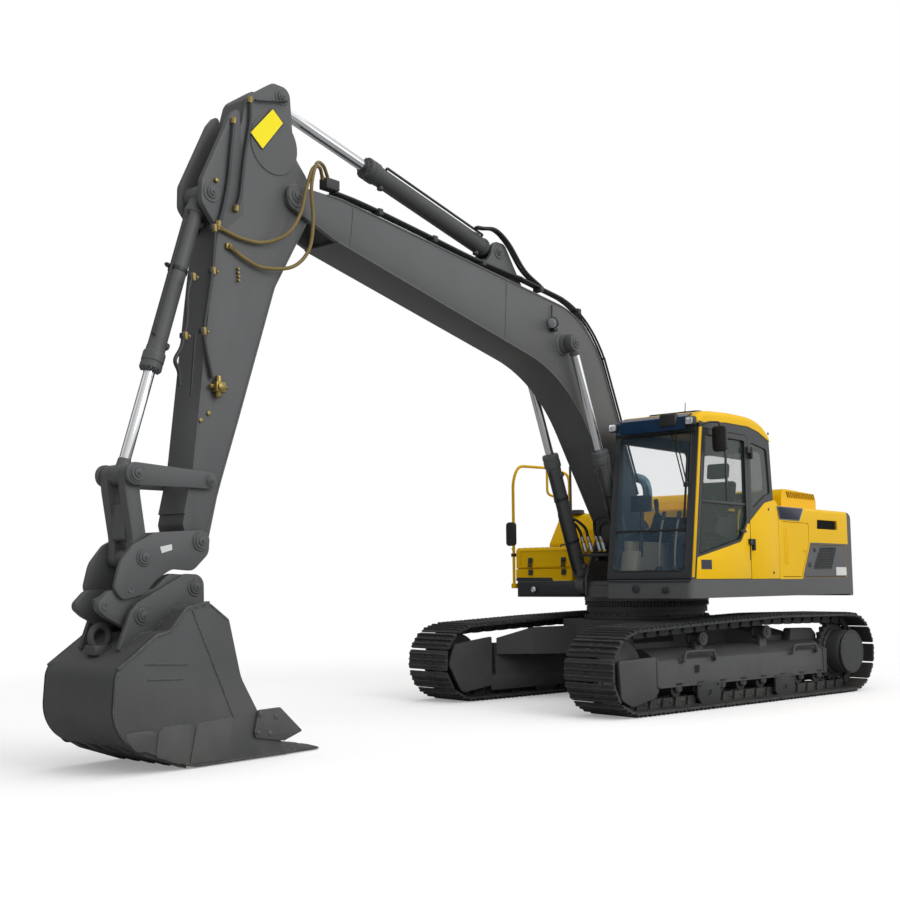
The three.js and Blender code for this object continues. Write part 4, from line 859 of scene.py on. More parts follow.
def collar(centre, face, outward, inner, outer, thick=14):
    # A raised ring of weld and casting round a pin.
    return turned((face, *centre), (outward, 0, 0), [(-3, outer + 6), (2, outer + 2), (thick - 4, outer),
        (thick, outer - 4), (thick, inner)], 40)


def pinned(pin, face, hand, outer, thick, out, radius, back=3):
    # A collar on a face and the pin's cap over it.
    return collar(pin, face - hand * back, hand, 30, outer, thick), pinCap(pin, face + hand * out, hand, radius)


def bead(path, radius=7):
    # A weld bead: a small six-sided line along its path.
    return swept(path, radius, 6)


def buildBoom():
    tipY, tipZ = gear["boomTip"]
    footY, footZ = gear["boomFoot"]
    corners = [(tipY - 95, tipZ + 95, 90), (-4900, tipZ + 95, 300), (-2432, 4150, 900), (-1232, 4006, 1700),
        (footY + 185, footZ + 60, 120), (footY + 175, footZ - 165, 160), (footY - 190, footZ - 165, 160),
        (footY - 250, footZ + 70, 200), (-1683, 3330, 1700), (-4945, 4063, 500), (tipY - 95, tipZ - 95, 90)]
    outline = rounded(corners, 3)
    half = gear["boomHalf"]
    web = plate(narrowed(outline, 5), half - 48, half - 7, "x", 3)
    parts = [moved(part, (mid, 0, 0)) for part in (web, acrossX(web))]
    core = rounded([(-5066, 4438), (-4900, 4440, 300), *corners[2:9], (-4945, 4070, 400), (-4870, 4060),
        (-5066, 4332)], 3)
    parts.append(plate(narrowed(core, 8), mid - half + 46, mid + half - 46, "x", 0))
    upper = rounded([(-5060, 4447), (-4900, 4447, 300), (-2432, 4150, 900), (-1232, 4006, 1700),
        (footY + 185, footZ + 60)], 3)[:-1]
    upper = np.concatenate([upper, [[footY + 40, footZ + 420]]])
    lower = rounded([(-4900, 4055), (-4945, 4063), (-1683, 3330, 1700), (footY - 250, footZ + 70)], 3)
    lower = np.concatenate([lower[1:-1], [[footY - 330, footZ + 200]]])
    parts += [band(upper, -1, half, 16), band(lower, 1, half, 16)]
    # ears for the stick cylinder, its base pin and the lift cylinders' bosses
    baseY, baseZ = gear["crowdBase"]
    ear = plate([(baseY - 350, 4165, 10), (baseY - 120, baseZ - 50, 80), (baseY - 85, baseZ + 95, 90),
        (baseY + 95, baseZ + 95, 90), (baseY + 430, 4105, 10), (baseY, 4090)], 63, 103, "x", 6)
    parts.append(onBoth(ear))
    for hand in (-1, 1):
        face = mid + hand * half
        parts += [turned((face - hand * 12, *gear["liftPin"]), (hand, 0, 0), [(0, 128), (14, 122), (22, 104), (56, 96),
            (68, 92), (68, 0)], 48), *pinned(gear["boomTip"], face, hand, 96, 12, 2, 58, 8),
            collar((baseY, baseZ), mid + hand * 103, hand, 30, 72, 10),
            pinCap((baseY, baseZ), mid + hand * 112, hand, 44)]
    parts.append(barX(gear["boomFoot"], 100, mid - half - 2, mid + half + 2, 4, 40))
    makePiece("boom_body", parts, greyPaint, "boom", stands=["boom"])

    seams = []
    for hand in (-1, 1):
        x = mid + hand * (half - 6)
        for y0, z0, y1, z1 in ((-2660, 4168, -2700, 3556), (-4760, 4400, -4800, 4040)):
            seams.append(bead(atX(x, between((y0, z0), (y1, z1), 40)), 5))
    makePiece("boom_weld_seams", seams, greyPaint, "boom")

    # three steel lines on each side of the boom's top with their clamps; they follow the back edge's curve, moved
    # out along its normal (dz, -dy) by the lines' stand
    spine = rounded([(footY + 185, footZ + 60), (-1232, 4006, 1700), (-2432, 4150, 900), (-3300, 4255)], 6)[:-1]
    spine[0] = spine[0] * 0.72 + spine[1] * 0.28
    run = unit(np.gradient(spine, axis=0))
    out = np.column_stack([run[:, 1], -run[:, 0]])
    stand = 100
    topLine = np.concatenate([spine + out * stand, [(-3100, 4300), (-3900, 4400), (-4600, 4482), (-4960, 4505)]])
    pipes, clamps = [], []
    for x in (118, -118, 150, -150, 182, -182):
        pipes.append(hose(atX(mid + x, topLine + [0, -10]), 12, 10))
    for y, z in ((-1420, 4070), (-2080, 4192), (-3000, 4286), (-3700, 4368), (-4420, 4455)):
        for hand in (-1, 1):
            clamps += [moved(block((hand * 150 - 52, hand * 150 + 52), (-26, 26), (-38, 20), 6), (mid, y, z)),
                bolt((mid + hand * 134, y, z + 19), (0, 0, 1), 8, 7), bolt((mid + hand * 166, y, z + 19), (0, 0, 1), 8,
                7)]
    makePiece("boom_pipes", pipes, cabBlack, "boom", smooth=60)
    # a work lamp on each side of the boom, on a small bracket, with its wire
    shells, lenses, wires = [], [], []
    for hand in (-1, 1):
        x = mid + hand * half
        shells += [block(sorted((x - hand * 4, x + hand * 46)), (-1960, -1890), (3770, 3806), 5),
            turned((x + hand * 60, -1975, 3850), (0, -0.94, -0.34), [(-30, 30), (0, 56), (34, 60), (40, 54)], 28)]
        lenses.append(turned((x + hand * 60, -2011, 3837), (0, -0.94, -0.34), [(-6, 52), (2, 52), (6, 44), (8, 0)],
            28))
        wires.append(hose([(x + hand * 8, -1925, 3800), (x + hand * 10, -1945, 3900), (x + hand * 6, -1932, 4040)], 7,
            8))
    makePiece("boom_lamp_shells", shells + wires, plastic, "boom")
    makePiece("boom_lamp_lenses", lenses, lampLens, "boom")
    makePiece("boom_pipe_clamps", clamps, castDark, "boom")


def cylinder(base, end, x, bore, rod, barrelLength, eye, eyeHalf, pad):
    # A turned barrel with base cap, weld ring and gland from one pin, and its rod back from the other.
    base3, end3 = np.array([x, *base], float), np.array([x, *end], float)
    reach = np.linalg.norm(end3 - base3)
    ahead = (end3 - base3) / reach
    body = [turned(base3, ahead, [(eye - 26, min(bore, eyeHalf) - 6), (eye + 16, min(bore, eyeHalf) - 2),
        (eye + 40, bore + 4), (eye + 58, bore + 8), (eye + 78, bore + 8), (eye + 84, bore), (barrelLength - 196, bore),
        (barrelLength - 190, bore + 3), (barrelLength - 150, bore + 4), (barrelLength - 144, bore + 12),
        (barrelLength - 136, bore + 15), (barrelLength - 70, bore + 15), (barrelLength - 64, bore + 9),
        (barrelLength - 56, bore + 9), (barrelLength - 52, bore + 14), (barrelLength - 16, bore + 14),
        (barrelLength - 10, bore + 8), (barrelLength - 6, rod + 16), (barrelLength, rod + 12),
        (barrelLength, rod + 1)], 56), barX(base, eye, x - eyeHalf, x + eyeHalf, 5, 44)]
    bolts = boltCircle(base3 + ahead * (barrelLength - 12), ahead, bore + 1, 12, 8, 9)
    port = [turned(base3 + ahead * s, pad, [(bore - 8, 30), (bore + 22, 28), (bore + 26, 24), (bore + 26, 0)],
        20) for s in (eye + 130, barrelLength - 230)]
    shaft = turned(base3, ahead, [(barrelLength - 300, rod - 2), (barrelLength - 296, rod), (reach - eye - 24, rod),
        (reach - eye - 20, rod - 1)], 48)
    head = [turned(base3, ahead, [(reach - eye - 40, rod + 2), (reach - eye - 34, rod + 6),
        (reach - eye + 10, rod + 8), (reach - eye + 30, min(eyeHalf - 4, rod + 14))], 40),
        barX(end, eye - 3, x - eyeHalf, x + eyeHalf, 5, 44)]
    return body + [bolts] + port, shaft, head


def tubeAlong(base, end, x, side, start, stop, off, radius=11):
    # A steel line beside a barrel: it leaves a port, runs along the barrel and bends back in.
    base3, end3 = np.array([x, *base], float), np.array([x, *end], float)
    ahead = (end3 - base3) / np.linalg.norm(end3 - base3)
    side = np.array(side, float)
    return pipe([base3 + ahead * start + side * (off - 24), base3 + ahead * start + side * off,
        base3 + ahead * stop + side * off, base3 + ahead * stop + side * (off - 24)], radius, 10, 34)


def buildCylinders():
    barrels, shafts, heads, tubes = [], [], [], []
    for hand in (-1, 1):
        x = mid + hand * gear["liftSpread"]
        body, shaft, head = cylinder(gear["liftFoot"], gear["liftPin"], x, 75, 45, 1505, 92, 50, (-hand, 0, 0))
        barrels += body
        shafts.append(shaft)
        heads += head
        # along the barrel and straight out of its lower side
        ahead = np.array([0, -1038, 2451]) / 2662
        normal = np.array([0, -2451, -1038]) / 2662
        tubes += [tubeAlong(gear["liftFoot"], gear["liftPin"], x, normal, 170, 1330, 98),
            pipe([np.array([x, *gear["liftFoot"]]) + ahead * s + normal * r for s, r in ((200, 70), (200, 122),
            (860, 122), (900, 100))], 9, 8, 30)]
        for s in (520, 1010):
            ring = np.array([x, *gear["liftFoot"]]) + ahead * s
            tubes += [turned(ring, ahead, [(-16, 74), (-16, 80), (16, 80), (16, 74)], 40),
                bar(ring + normal * 70, ring + normal * 118, 16, 3, 10)]
    makePiece("lift_barrels_turned", barrels, greyPaint, "lift_barrels",
        stands=["lift_cylinder_left", "lift_cylinder_right"])
    makePiece("lift_barrel_lines", tubes, cabBlack, "lift_barrels")
    makePiece("lift_rods_chromed", shafts, chromeRod, "lift_rods", stands=["lift_rod_left", "lift_rod_right"])
    caps = [pinCap(gear["liftPin"], mid + hand * (gear["liftSpread"] + 50), hand, 62) for hand in (-1, 1)]
    makePiece("lift_rod_eyes", heads + caps, greyPaint, "lift_rods")

    body, shaft, head = cylinder(gear["crowdBase"], gear["crowdPin"], mid, 85, 50, 1820, 86, 61, (0, -0.232, -0.973))
    lines = [tubeAlong(gear["crowdBase"], gear["crowdPin"], mid, (hand * 0.55, 0.19, 0.81), 220, 1600, 106,
        12) for hand in (-1, 1)]
    makePiece("stick_barrel_turned", body, blackPaint, "stick_barrel", stands=["stick_cylinder"])
    makePiece("stick_barrel_lines", lines, cabBlack, "stick_barrel")
    makePiece("stick_rod_chromed", shaft, chromeRod, "stick_rod", stands=["stick_rod"])
    makePiece("stick_rod_eye", head, blackPaint, "stick_rod")

    body, shaft, head = cylinder(gear["curlBase"], gear["linkTop"], mid, 68, 42, 1460, 76, 96, (0, 0.958, -0.285))
    # along the barrel and straight out of its front
    down = np.array([0, -645, -2167]) / 2261
    back = np.array([0, -2167, 645]) / 2261
    lines = [tubeAlong(gear["curlBase"], gear["linkTop"], mid + 34, back, 180, 1200, 86, 10)]
    ring = np.array([mid, *gear["curlBase"]]) + down * 640
    lines += [turned(ring, down, [(-14, 66), (-14, 74), (14, 74), (14, 66)], 40), bar(ring + back * 60,
        ring + back * 108, 18, 4, 12), bolt(ring + back * 108, back, 12, 10)]
    makePiece("bucket_barrel_turned", body, greyPaint, "bucket_barrel", stands=["bucket_cylinder"])
    makePiece("bucket_barrel_lines", lines, cabBlack, "bucket_barrel")
    makePiece("bucket_rod_chromed", shaft, chromeRod, "bucket_rod", stands=["bucket_rod"])
    makePiece("bucket_rod_eye", head, greyPaint, "bucket_rod")


def buildStick():
    pinY, pinZ = gear["crowdPin"]
    tipY, tipZ = gear["stickTip"]
    baseY, baseZ = gear["curlBase"]
    half = gear["stickHalf"]
    corners = [(pinY - 95, pinZ + 95, 90), (pinY + 90, pinZ + 95, 90), (-5385, 4700, 200), (-5225, 4530, 150),
        (-5225, 4200, 200), (-5440, 3830, 300), (-5586, 3573, 200), (-5927, 2523, 300), (-6095, 2023, 300),
        (tipY + 95, tipZ - 60, 95), (tipY - 60, tipZ - 100, 95), (tipY - 130, tipZ + 120, 60), (-6362, 2086, 300),
        (-6205, 3588, 300), (-6120, 4150, 200), (-5880, 5060, 150)]
    web = plate(narrowed(rounded(corners, 5), 5), 101, half - 5, "x", 3)
    ear = plate([(-6130, 3890, 20), (baseY - 90, baseZ - 90, 85), (baseY - 90, baseZ + 80, 85), (-6060, 4830, 80),
        (-5960, 4960, 30), (-5900, 4100)], 98, half - 1, "x", 6)
    core = [(-5232, 4500, 60), (-5229, 4200, 200), (-5444, 3830, 300), (-5590, 3573, 200), (-5931, 2523, 300),
        (-6099, 2023, 300), (tipY + 90, tipZ - 56, 90), (tipY - 56, tipZ - 95, 90), (tipY - 124, tipZ + 120, 60),
        (-6357, 2086, 300), (-6200, 3588, 300), (-6155, 3925), (-6112, 4000), (-6075, 4310), (-5885, 5045, 60),
        (-5750, 5112, 20), (-5655, 5030, 60), (-5560, 4600), (-5272, 4580)]
    parts = [onBoth(web), onBoth(ear), plate(rounded(core, 5), mid - 103, mid + 103, "x", 0)]
    back = rounded([(-5229, 4200), (-5440, 3830, 400), (-5586, 3573, 300), (-5927, 2523, 300), (-6095, 2023, 300),
        (tipY + 95, tipZ + 60)], 4)
    face = rounded([(tipY - 120, tipZ + 200), (-6362, 2086, 300), (-6205, 3588, 300), (-6158, 3900)], 4)
    parts += [band(back, -1, half, 14), band(face, -1, half, 14)]
    for hand in (-1, 1):
        x = mid + hand * half
        parts += [*pinned((baseY, baseZ), x, hand, 78, 10, 8, 50, 2), *pinned((pinY, pinZ), x, hand, 70, 8, 3, 46, 5),
            turned((x - hand * 6, -5606, 4733), (hand, 0, 0), [(0, 246), (5, 246), (9, 242), (9, 0)], 84),
            collar(gear["boomTip"], mid + hand * 154, hand, 40, 98, 5)]
    parts.append(barX(gear["boomTip"], 100, mid - 159, mid + 159, 3, 44))
    makePiece("stick_body", parts, greyPaint, "stick", stands=["stick"])

    # blank diamond plate on the near side
    near = mid + half
    diamond = rounded([(-5635, 5025, 14), (-5515, 4930, 14), (-5735, 4650, 14), (-5870, 4760, 14)], 20)
    makePiece("blank_diamond_edge", [plate(diamond, near + 8, near + 10, "x", 0)], plastic, "stick")
    makePiece("blank_diamond_plate", [plate(narrowed(diamond, 8), near + 9, near + 12, "x", 0)], signYellow, "stick")


stickRuns = {"first": [(-6035, 4800), (-6060, 4560), (-6085, 4305), (-6135, 4070), (-6170, 3960)],
    "second": [(-5875, 5015), (-5875, 4835), (-5925, 4550), (-5965, 4235), (-6000, 4120)],
    "right": [(-6195, 3950), (-6205, 3840), (-6225, 3575), (-6260, 3355), (-6295, 3125), (-6280, 3005), (-6215, 2775)],
    "left": [(-6400, 3540), (-6445, 3385), (-6450, 3175), (-6475, 3055), (-6500, 2960), (-6550, 2865), (-6515, 2785),
    (-6505, 2680)], "middle": [(-6375, 3085), (-6390, 2850), (-6405, 2620)],
    "cross": [(-5825, 5030), (-5715, 5055), (-5490, 5120)], "clamps": [(-6210, 3915), (-6215, 3585), (-6295, 3115),
    (-6400, 3505), (-6465, 3055)], "ports": [(-5970, 3650), (-5970, 3620), (-5965, 3590), (-5965, 3560)],
    "valve": (-6145, 2710), "radius": 15, "stand": 20}


def buildStickLines():
    # Steel lines down the near side of the stick, held by clamps, with a valve at the lower end.
    runs = stickRuns
    near = mid + gear["stickHalf"]
    x = near + runs["stand"]
    lines, clamps, fittings = [], [], []
    for name in ("first", "second", "right", "left", "middle", "cross"):
        points = np.array(runs[name], float)
        lines.append(hose(atX(x, points), 9 if name in ("middle", "cross") else runs["radius"], 12))
    for y, z in runs["clamps"]:
        clamps += [block((near - 4, x + 14), (y - 34, y + 34), (z - 20, z + 20), 4)]
        fittings += [bar((x, y - 2, z + 30), (x, y + 2, z - 30), 21, 4, 6), bolt((x + 14, y + 26, z), (1, 0, 0), 9, 8)]
    for y, z in ((-6170, 3955), (-6000, 4115), (-5875, 5015), (-6035, 4800)):
        fittings.append(bar((x, y, z + 26), (x, y - 6, z - 26), 20, 3, 6))
    y, z = runs["valve"]
    valve = [block((near - 2, near + 66), (y - 60, y + 30), (z - 40, z + 40), 8), bar((near + 32, y - 18, z - 76),
        (near + 32, y - 18, z + 86), 24, 4, 12), turned((near + 62, y - 18, z), (1, 0, 0),
        [(0, 32), (14, 32), (20, 24), (20, 0)], 16), bar((near + 28, y - 96, z + 4), (near + 28, y + 66, z + 4), 16, 3,
        6)]
    ports = [bar((near - 2, y, z), (near + 24, y, z), 10, 2, 6) for y, z in runs["ports"]]
    ports += [bar((near - 2, -6300, 2453), (near + 12, -6300, 2453), 16, 2, 12), bar((near - 2, -6228, 2512),
        (near + 12, -6228, 2512), 16, 2, 12), bar((near - 2, -6191, 4292), (near + 26, -6191, 4292), 18, 3, 6)]
    makePiece("stick_lines", lines, cabBlack, "stick", smooth=60)
    makePiece("stick_line_clamps", clamps, castDark, "stick")
    makePiece("stick_brass_fittings", fittings + valve + ports, brass, "stick")


def acrossJoint(tube):
    # Takes a hose off its body and bakes its place into its mesh, so it rides no body.
    tube.parent = None
    del tube["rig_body"]
    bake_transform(tube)


def buildHoses():
    # Two sleeved hoses loop from the boom's tip to the stick; each runs across the stick's joint and rides no body.
    near = mid + gear["boomHalf"]
    stickFace = mid + gear["stickHalf"]
    routes = [[(near - 30, -5102, 4597), (near + 20, -5180, 4640), (near + 58, -5290, 4590), (near + 70, -5370, 4400),
        (near + 66, -5430, 4180), (near + 50, -5560, 3990), (stickFace + 34, -5740, 3900),
        (stickFace + 24, -5950, 3890), (stickFace + 22, -6150, 3925)], [(near - 60, -5011, 4620),
        (near - 10, -5110, 4680), (near + 60, -5250, 4640), (near + 88, -5330, 4420), (near + 88, -5310, 4150),
        (near + 80, -5350, 3900), (near + 50, -5500, 3740), (stickFace + 36, -5740, 3700),
        (stickFace + 24, -5920, 3740), (stickFace + 22, -6030, 3790)]]
    for k, route in enumerate(routes):
        tube = makePiece(f"tip_hose_{k + 1}", [hose(route, 15, 12, 12)], hoseSleeve, "boom", smooth=70)
        acrossJoint(tube)
    ends = [bar((stickFace + 22, -6140, 3923), (stickFace + 22, -6194, 3935), 20, 3, 6),
        bar((stickFace + 22, -6020, 3786), (stickFace + 22, -6074, 3806), 20, 3, 6),
        block((stickFace - 3, stickFace + 20), (-6090, -6040), (3784, 3830), 4), block((stickFace - 3, stickFace + 20),
        (-6200, -6160), (3912, 3958), 4)]
    makePiece("tip_hose_stick_fittings", ends, brass, "stick")
    manifold = [block((near - 90, near + 6), (-5080, -4930), (4500, 4590), 8)]
    tops = [bar((near - 34, -5104, 4594), (near - 40, -5050, 4560), 19, 3, 6), bar((near - 64, -5013, 4616),
        (near - 68, -4980, 4580), 19, 3, 6)]
    makePiece("boom_tip_manifold", manifold, castDark, "boom")
    makePiece("boom_tip_fittings", tops, brass, "boom")
    # stick cylinder's hoses on the boom's top
    arcs = []
    for x in (-170, -128, 128, 170):
        arcs.append(hose([(mid + x, -2060, 4215), (mid + x, -2330, 4330), (mid + x * 0.9, -2560, 4560),
            (mid + x * 0.8, -2740, 4660), (mid + x * 0.75, -2920, 4640), (mid + x * 0.62, -2990, 4640)], 16, 12))
    makePiece("stick_cylinder_hoses", arcs, hoseRubber, "boom", smooth=70)
    # four hoses leave fittings between the cheeks in pairs and bend out to the lift barrels' ports
    for k, route in enumerate(footLoops):
        tube = makePiece(f"lift_hose_{k + 1}", [hose(route, 16, 12, 10)], hoseRubber, smooth=70)
        acrossJoint(tube)


footLoops = [[(-262, -860, 1722), (-270, -884, 1790), (-310, -920, 1868), (-390, -930, 1890), (-440, -905, 1880)],
    [(-184, -860, 1724), (-194, -892, 1820), (-260, -960, 1905), (-380, -975, 1940), (-440, -935, 1950)],
    [(-80, -860, 1728), (-76, -892, 1830), (-10, -960, 1910), (180, -975, 1940), (300, -940, 1950)],
    [(-22, -860, 1724), (-14, -884, 1790), (50, -920, 1860), (190, -930, 1880), (300, -905, 1880)]]


def buildLinks():
    half = gear["stickHalf"]
    ay, az = gear["guidePin"]
    by, bz = gear["linkTop"]
    fy, fz = gear["linkFoot"]
    guide = plate([(ay + 62, az + 60, 60), (by - 82, bz + 82, 82), (by - 82, bz - 82, 82), (ay + 62, az - 60, 60)],
        half + 5, half + 41, "x", 7)
    parts = [onBoth(guide)]
    for hand in (-1, 1):
        face = mid + hand * (half + 41)
        parts += [*pinned((by, bz), face, hand, 68, 12, 8, 54), *pinned((ay, az), face, hand, 52, 10, 6, 40)]
    parts += [barX((by, bz), 36, mid - half - 10, mid - 61, 2), barX((by, bz), 36, mid + 61, mid + half + 10, 2),
        barX((ay, az), 36, mid - half - 10, mid + half + 10, 2)]
    makePiece("guide_plates", parts, greyPaint, "guide_links", stands=["guide_links"])
    bars = plate([(by - 82, bz + 70, 76), (by + 80, bz + 70, 76), (by + 62, bz - 120, 200), (fy + 58, fz + 120, 200),
        (fy + 74, fz - 70, 70), (fy - 74, fz - 70, 70), (fy - 60, fz + 120, 200), (by - 60, bz - 120, 200)], 67,
        half - 7, "x", 9)
    web = plate([((by + fy) / 2 - 48, (bz + fz) / 2 - 175, 30), ((by + fy) / 2 + 52, (bz + fz) / 2 - 175, 30),
        ((by + fy) / 2 + 44, (bz + fz) / 2 + 95, 30), ((by + fy) / 2 - 52, (bz + fz) / 2 + 95, 30)], -72, 72, "x", 4)
    makePiece("bucket_link_forging", [onBoth(bars), moved(web, (mid, 0, 0)),
        barX((fy, fz), 62, mid - 72, mid + 72, 3)], greyPaint, "bucket_link", stands=["bucket_link"])


def buildCoupler():
    tipY, tipZ = gear["stickTip"]
    linkY, linkZ = gear["linkFoot"]
    frontY, frontZ = gear["bucketPinFront"]
    rearY, rearZ = gear["bucketPinRear"]
    half = gear["stickHalf"]
    upper = plate([(tipY + 88, tipZ + 86, 86), (tipY + 78, tipZ - 90, 90), (tipY - 60, tipZ - 215, 90),
        (-6560, 1365, 120), (-6690, 1290, 120), (-6790, 1190, 90), (rearY - 130, 1150, 60), (rearY - 200, 1230, 70),
        (-6993, 1408, 160), (linkY - 85, linkZ + 90, 100), (-6700, 1622, 160)], half + 6, half + 43, "x", 9)
    lower = plate([(frontY + 88, frontZ + 78, 84), (frontY + 84, frontZ - 85, 84), (frontY - 120, frontZ - 84, 80),
        (-6640, 1130, 120), (rearY + 95, rearZ - 75, 80), (rearY - 80, rearZ - 88, 80), (-7072, 1040, 50),
        (-7160, 1110, 50), (-7046, 1222, 80), (-6690, 1222, 60), (-6560, 1335, 90)], 99, half + 9, "x", 8)
    parts = [onBoth(upper), onBoth(lower), plate([(-6560, 1150, 20), (-6700, 1120, 20), (-6700, 1215, 20),
        (-6560, 1300, 20)], mid - 105, mid + 105, "x", 5)]
    for hand in (-1, 1):
        face = mid + hand * (half + 43)
        parts += [*pinned((tipY, tipZ), face, hand, 74, 14, 10, 56),
            *pinned((linkY, linkZ), face, hand, 66, 12, 8, 50), turned((face - hand * 2, -6905, 1225), (hand, 0, 0),
            [(0, 26), (8, 24), (8, 14), (3, 12), (3, 0)], 24), turned((mid + hand * (half + 8), -7085, 1112),
            (hand, 0, 0), [(0, 27), (8, 25), (8, 15), (3, 13), (3, 0)], 24), barX((tipY, tipZ), 77,
            *across(hand, half + 1, half + 8), 1)]
    parts += [barX((linkY, linkZ), 34, mid - half - 10, mid + half + 10, 2)]
    # the wedge's cylinder between the cheeks
    parts += [bar((mid, -6960, 1180), (mid, -6720, 1168), 42, 4), bar((mid, -6960, 1180), (mid, -7060, 1130), 30, 4)]
    makePiece("coupler_body", parts, greyPaint, "bucket", stands=["quick_coupler"])
    face = mid + half + 43
    makePiece("coupler_blank_plate", [plate([(-6670, 1520, 4), (-6570, 1540, 4), (-6565, 1500, 4), (-6655, 1475, 4)],
        face - 1, face + 2, "x", 0)], plateWhite, "bucket")


bucketLine = [(-5660, 8), (-6520, 6, 380), (-7190, 250, 330), (-7165, 700, 160), (-6840, 930, 60), (-6730, 940, 30),
    (-6600, 1090, 60), (-6400, 1128, 60), (-6226, 1008, 40), (-6110, 590, 300), (-5956, 347, 80), (-5690, 70, 20)]


def buildBucket():
    # Side plates from an outline, and one wrapper sheet carried across between them.
    half, wall = gear["bucketHalf"], 26
    outline = rounded(bucketLine, 4)
    sideL = plate(outline, half - wall, half, "x", 4)
    wrapper = rounded(bucketLine[:8], 4)
    inner = narrowed(outline, wall)
    keep = len(wrapper) - 1
    section = np.concatenate([outline[:keep], inner[:keep][::-1]])
    shell = plate(section, mid - half + 6, mid + half - 6, "x", 0)
    parts = [onBoth(sideL), shell]
    frontY, frontZ = gear["bucketPinFront"]
    rearY, rearZ = gear["bucketPinRear"]
    ear = plate([(frontY + 88, 1020, 10), (frontY + 78, frontZ + 86, 84), (frontY - 90, frontZ + 92, 90),
        (-6620, 1262, 160), (rearY - 40, rearZ + 84, 84), (rearY - 100, rearZ + 20, 84), (rearY - 195, 812, 20),
        (rearY - 60, 800), (-6600, 1050)], 205, 243, "x", 8)
    parts.append(onBoth(ear))
    for hand in (-1, 1):
        face = mid + hand * 243
        for pin in ((frontY, frontZ), (rearY, rearZ)):
            parts += [*pinned(pin, face, hand, 70, 12, 8, 50)]
    parts += [barX((frontY, frontZ), 40, mid - 260, mid + 260, 3), barX((rearY, rearZ), 40, mid - 260, mid + 260, 3)]
    makePiece("bucket_shell", parts, bucketPaint, "bucket", stands=["bucket"])

    wear = []
    # wear plates on each lower side, three with notched gaps; raised bars; seam down the front side
    segments = [[(-7095, 275, 20), (-7040, 290, 10), (-6870, 290, 30), (-6840, 260, 20), (-6880, 150, 20),
        (-6990, 160, 60), (-7070, 235, 20)], [(-6820, 270, 30), (-6780, 305, 30), (-6560, 305, 16), (-6535, 280, 20),
        (-6565, 44, 10), (-6650, 46, 30), (-6840, 110, 30)], [(-6505, 280, 30), (-6470, 305, 30), (-6190, 320, 16),
        (-6175, 300, 10), (-6250, 30, 10), (-6555, 34, 10)]]
    for hand in (-1, 1):
        for corners in segments:
            a, b = across(hand, half - 2, half + 7)
            wear.append(plate(corners, a, b, "x", 3))
        a, b = across(hand, half - 2, half + 6)
        for y0, z0, y1, z1 in ((-6935, 730, -6580, 710), (-6910, 625, -6625, 615)):
            wear.append(plate([(y0, z0 - 6, 5), (y1, z1 - 6, 5), (y1, z1 + 6, 5), (y0, z0 + 6, 5)], a, b, "x", 3))
        x = mid + hand * half
        wear.append(bead(atX(x, between((-6560, 1095), (-6175, 315), 60)), 7))
        rimPath = narrowed(outline, 12)[:keep]
        wear.append(bead(atX(x, rimPath), 5))
    for k in range(5):
        x = mid + (k - 2) * 176
        wear.append(plate([(-6560, 4, 4), (-6900, 120, 120), (-7060, 214, 10), (-7048, 230, 10), (-6880, 150, 100),
            (-6560, 22, 6)], x - 38, x + 38, "x", 3))
    for hand in (-1, 1):
        a, b = across(hand, half - 34, half + 6)
        wear.append(plate([(-7150, 712, 10), (-6850, 918, 20), (-6736, 950, 20), (-6606, 1100, 30), (-6404, 1140, 30),
            (-6404, 1122, 6), (-6596, 1080, 20), (-6728, 928, 20), (-6842, 900, 20), (-7142, 694, 10)], a, b, "x", 3))
    makePiece("bucket_wear_plates", wear, bucketPaint, "bucket")

    # lifting ring on its pad, behind the rear pin
    ring = np.radians(np.linspace(0, 360, 48, endpoint=False))
    hoop = swept(np.column_stack([np.full(48, mid), -7010 + 72 * np.cos(ring), 905 + 72 * np.sin(ring)]), 24, 14, True)
    makePiece("bucket_lifting_ring", [hoop, block((mid - 70, mid + 70), (-7090, -6940), (780, 850), 14)], bucketPaint,
        "bucket")

    # adapters and pointed teeth along the lip, side cutters with their bolts
    teeth, cutters = [], []
    for k in range(5):
        x = mid + (half - 60) * (k / 2 - 1)
        ys = np.array([-5800, -5720, -5640, -5560, -5530, -5440, -5330, -5312])
        halfWide = np.array([44, 46, 46, 42, 38, 36, 30, 24])
        low = np.array([14, 8, 6, 6, 6, 6, 6, 7])
        high = np.array([46, 72, 84, 78, 68, 54, 24, 14])
        rings = [np.column_stack([x + w * np.array([-1, -0.9, 0.9, 1, 1, 0.9, -0.9, -1]), np.full(8, y),
            np.array([lo + 5, lo, lo, lo + 5, hi - 5, hi, hi, hi - 5])]) for y, w, lo,
            hi in zip(ys, halfWide, low, high)]
        teeth += [loft(rings), bar((x - 48, -5600, 44), (x + 48, -5600, 44), 11, 2, 12)]
    for hand in (-1, 1):
        a, b = across(hand, half - 2, half + 22)
        cutters.append(plate([(-5998, 202, 8), (-5958, 350, 16), (-5753, 354, 12), (-5538, 170, 16), (-5545, 160, 8),
            (-5712, 108, 14), (-5985, 157, 14)], a, b, "x", 5))
        for y, z in ((-5950, 320), (-5965, 190), (-5850, 172), (-5800, 290)):
            cutters.append(turned((mid + hand * (half + 20), y, z), (hand, 0, 0),
                [(0, 20), (8, 19), (13, 12), (13, 0)], 20))
    lip = block((mid - half + 4, mid + half - 4), (-5760, -5640), (8, 40), 6)
    makePiece("bucket_teeth", teeth + [lip], bucketPaint, "bucket")
    makePiece("bucket_side_cutters", cutters, bucketPaint, "bucket")


buildBoom()
buildCylinders()
buildStick()
buildStickLines()
buildHoses()
buildLinks()
buildCoupler()
buildBucket()
print("working gear made")

# ---- upper body

body = {"side": 1350, "tail": 2375}
cab = {"right": 385, "left": 1345, "floor": 1262.3, "front": -1375, "lean": 0.15164}
frontLean = math.atan(cab["lean"])


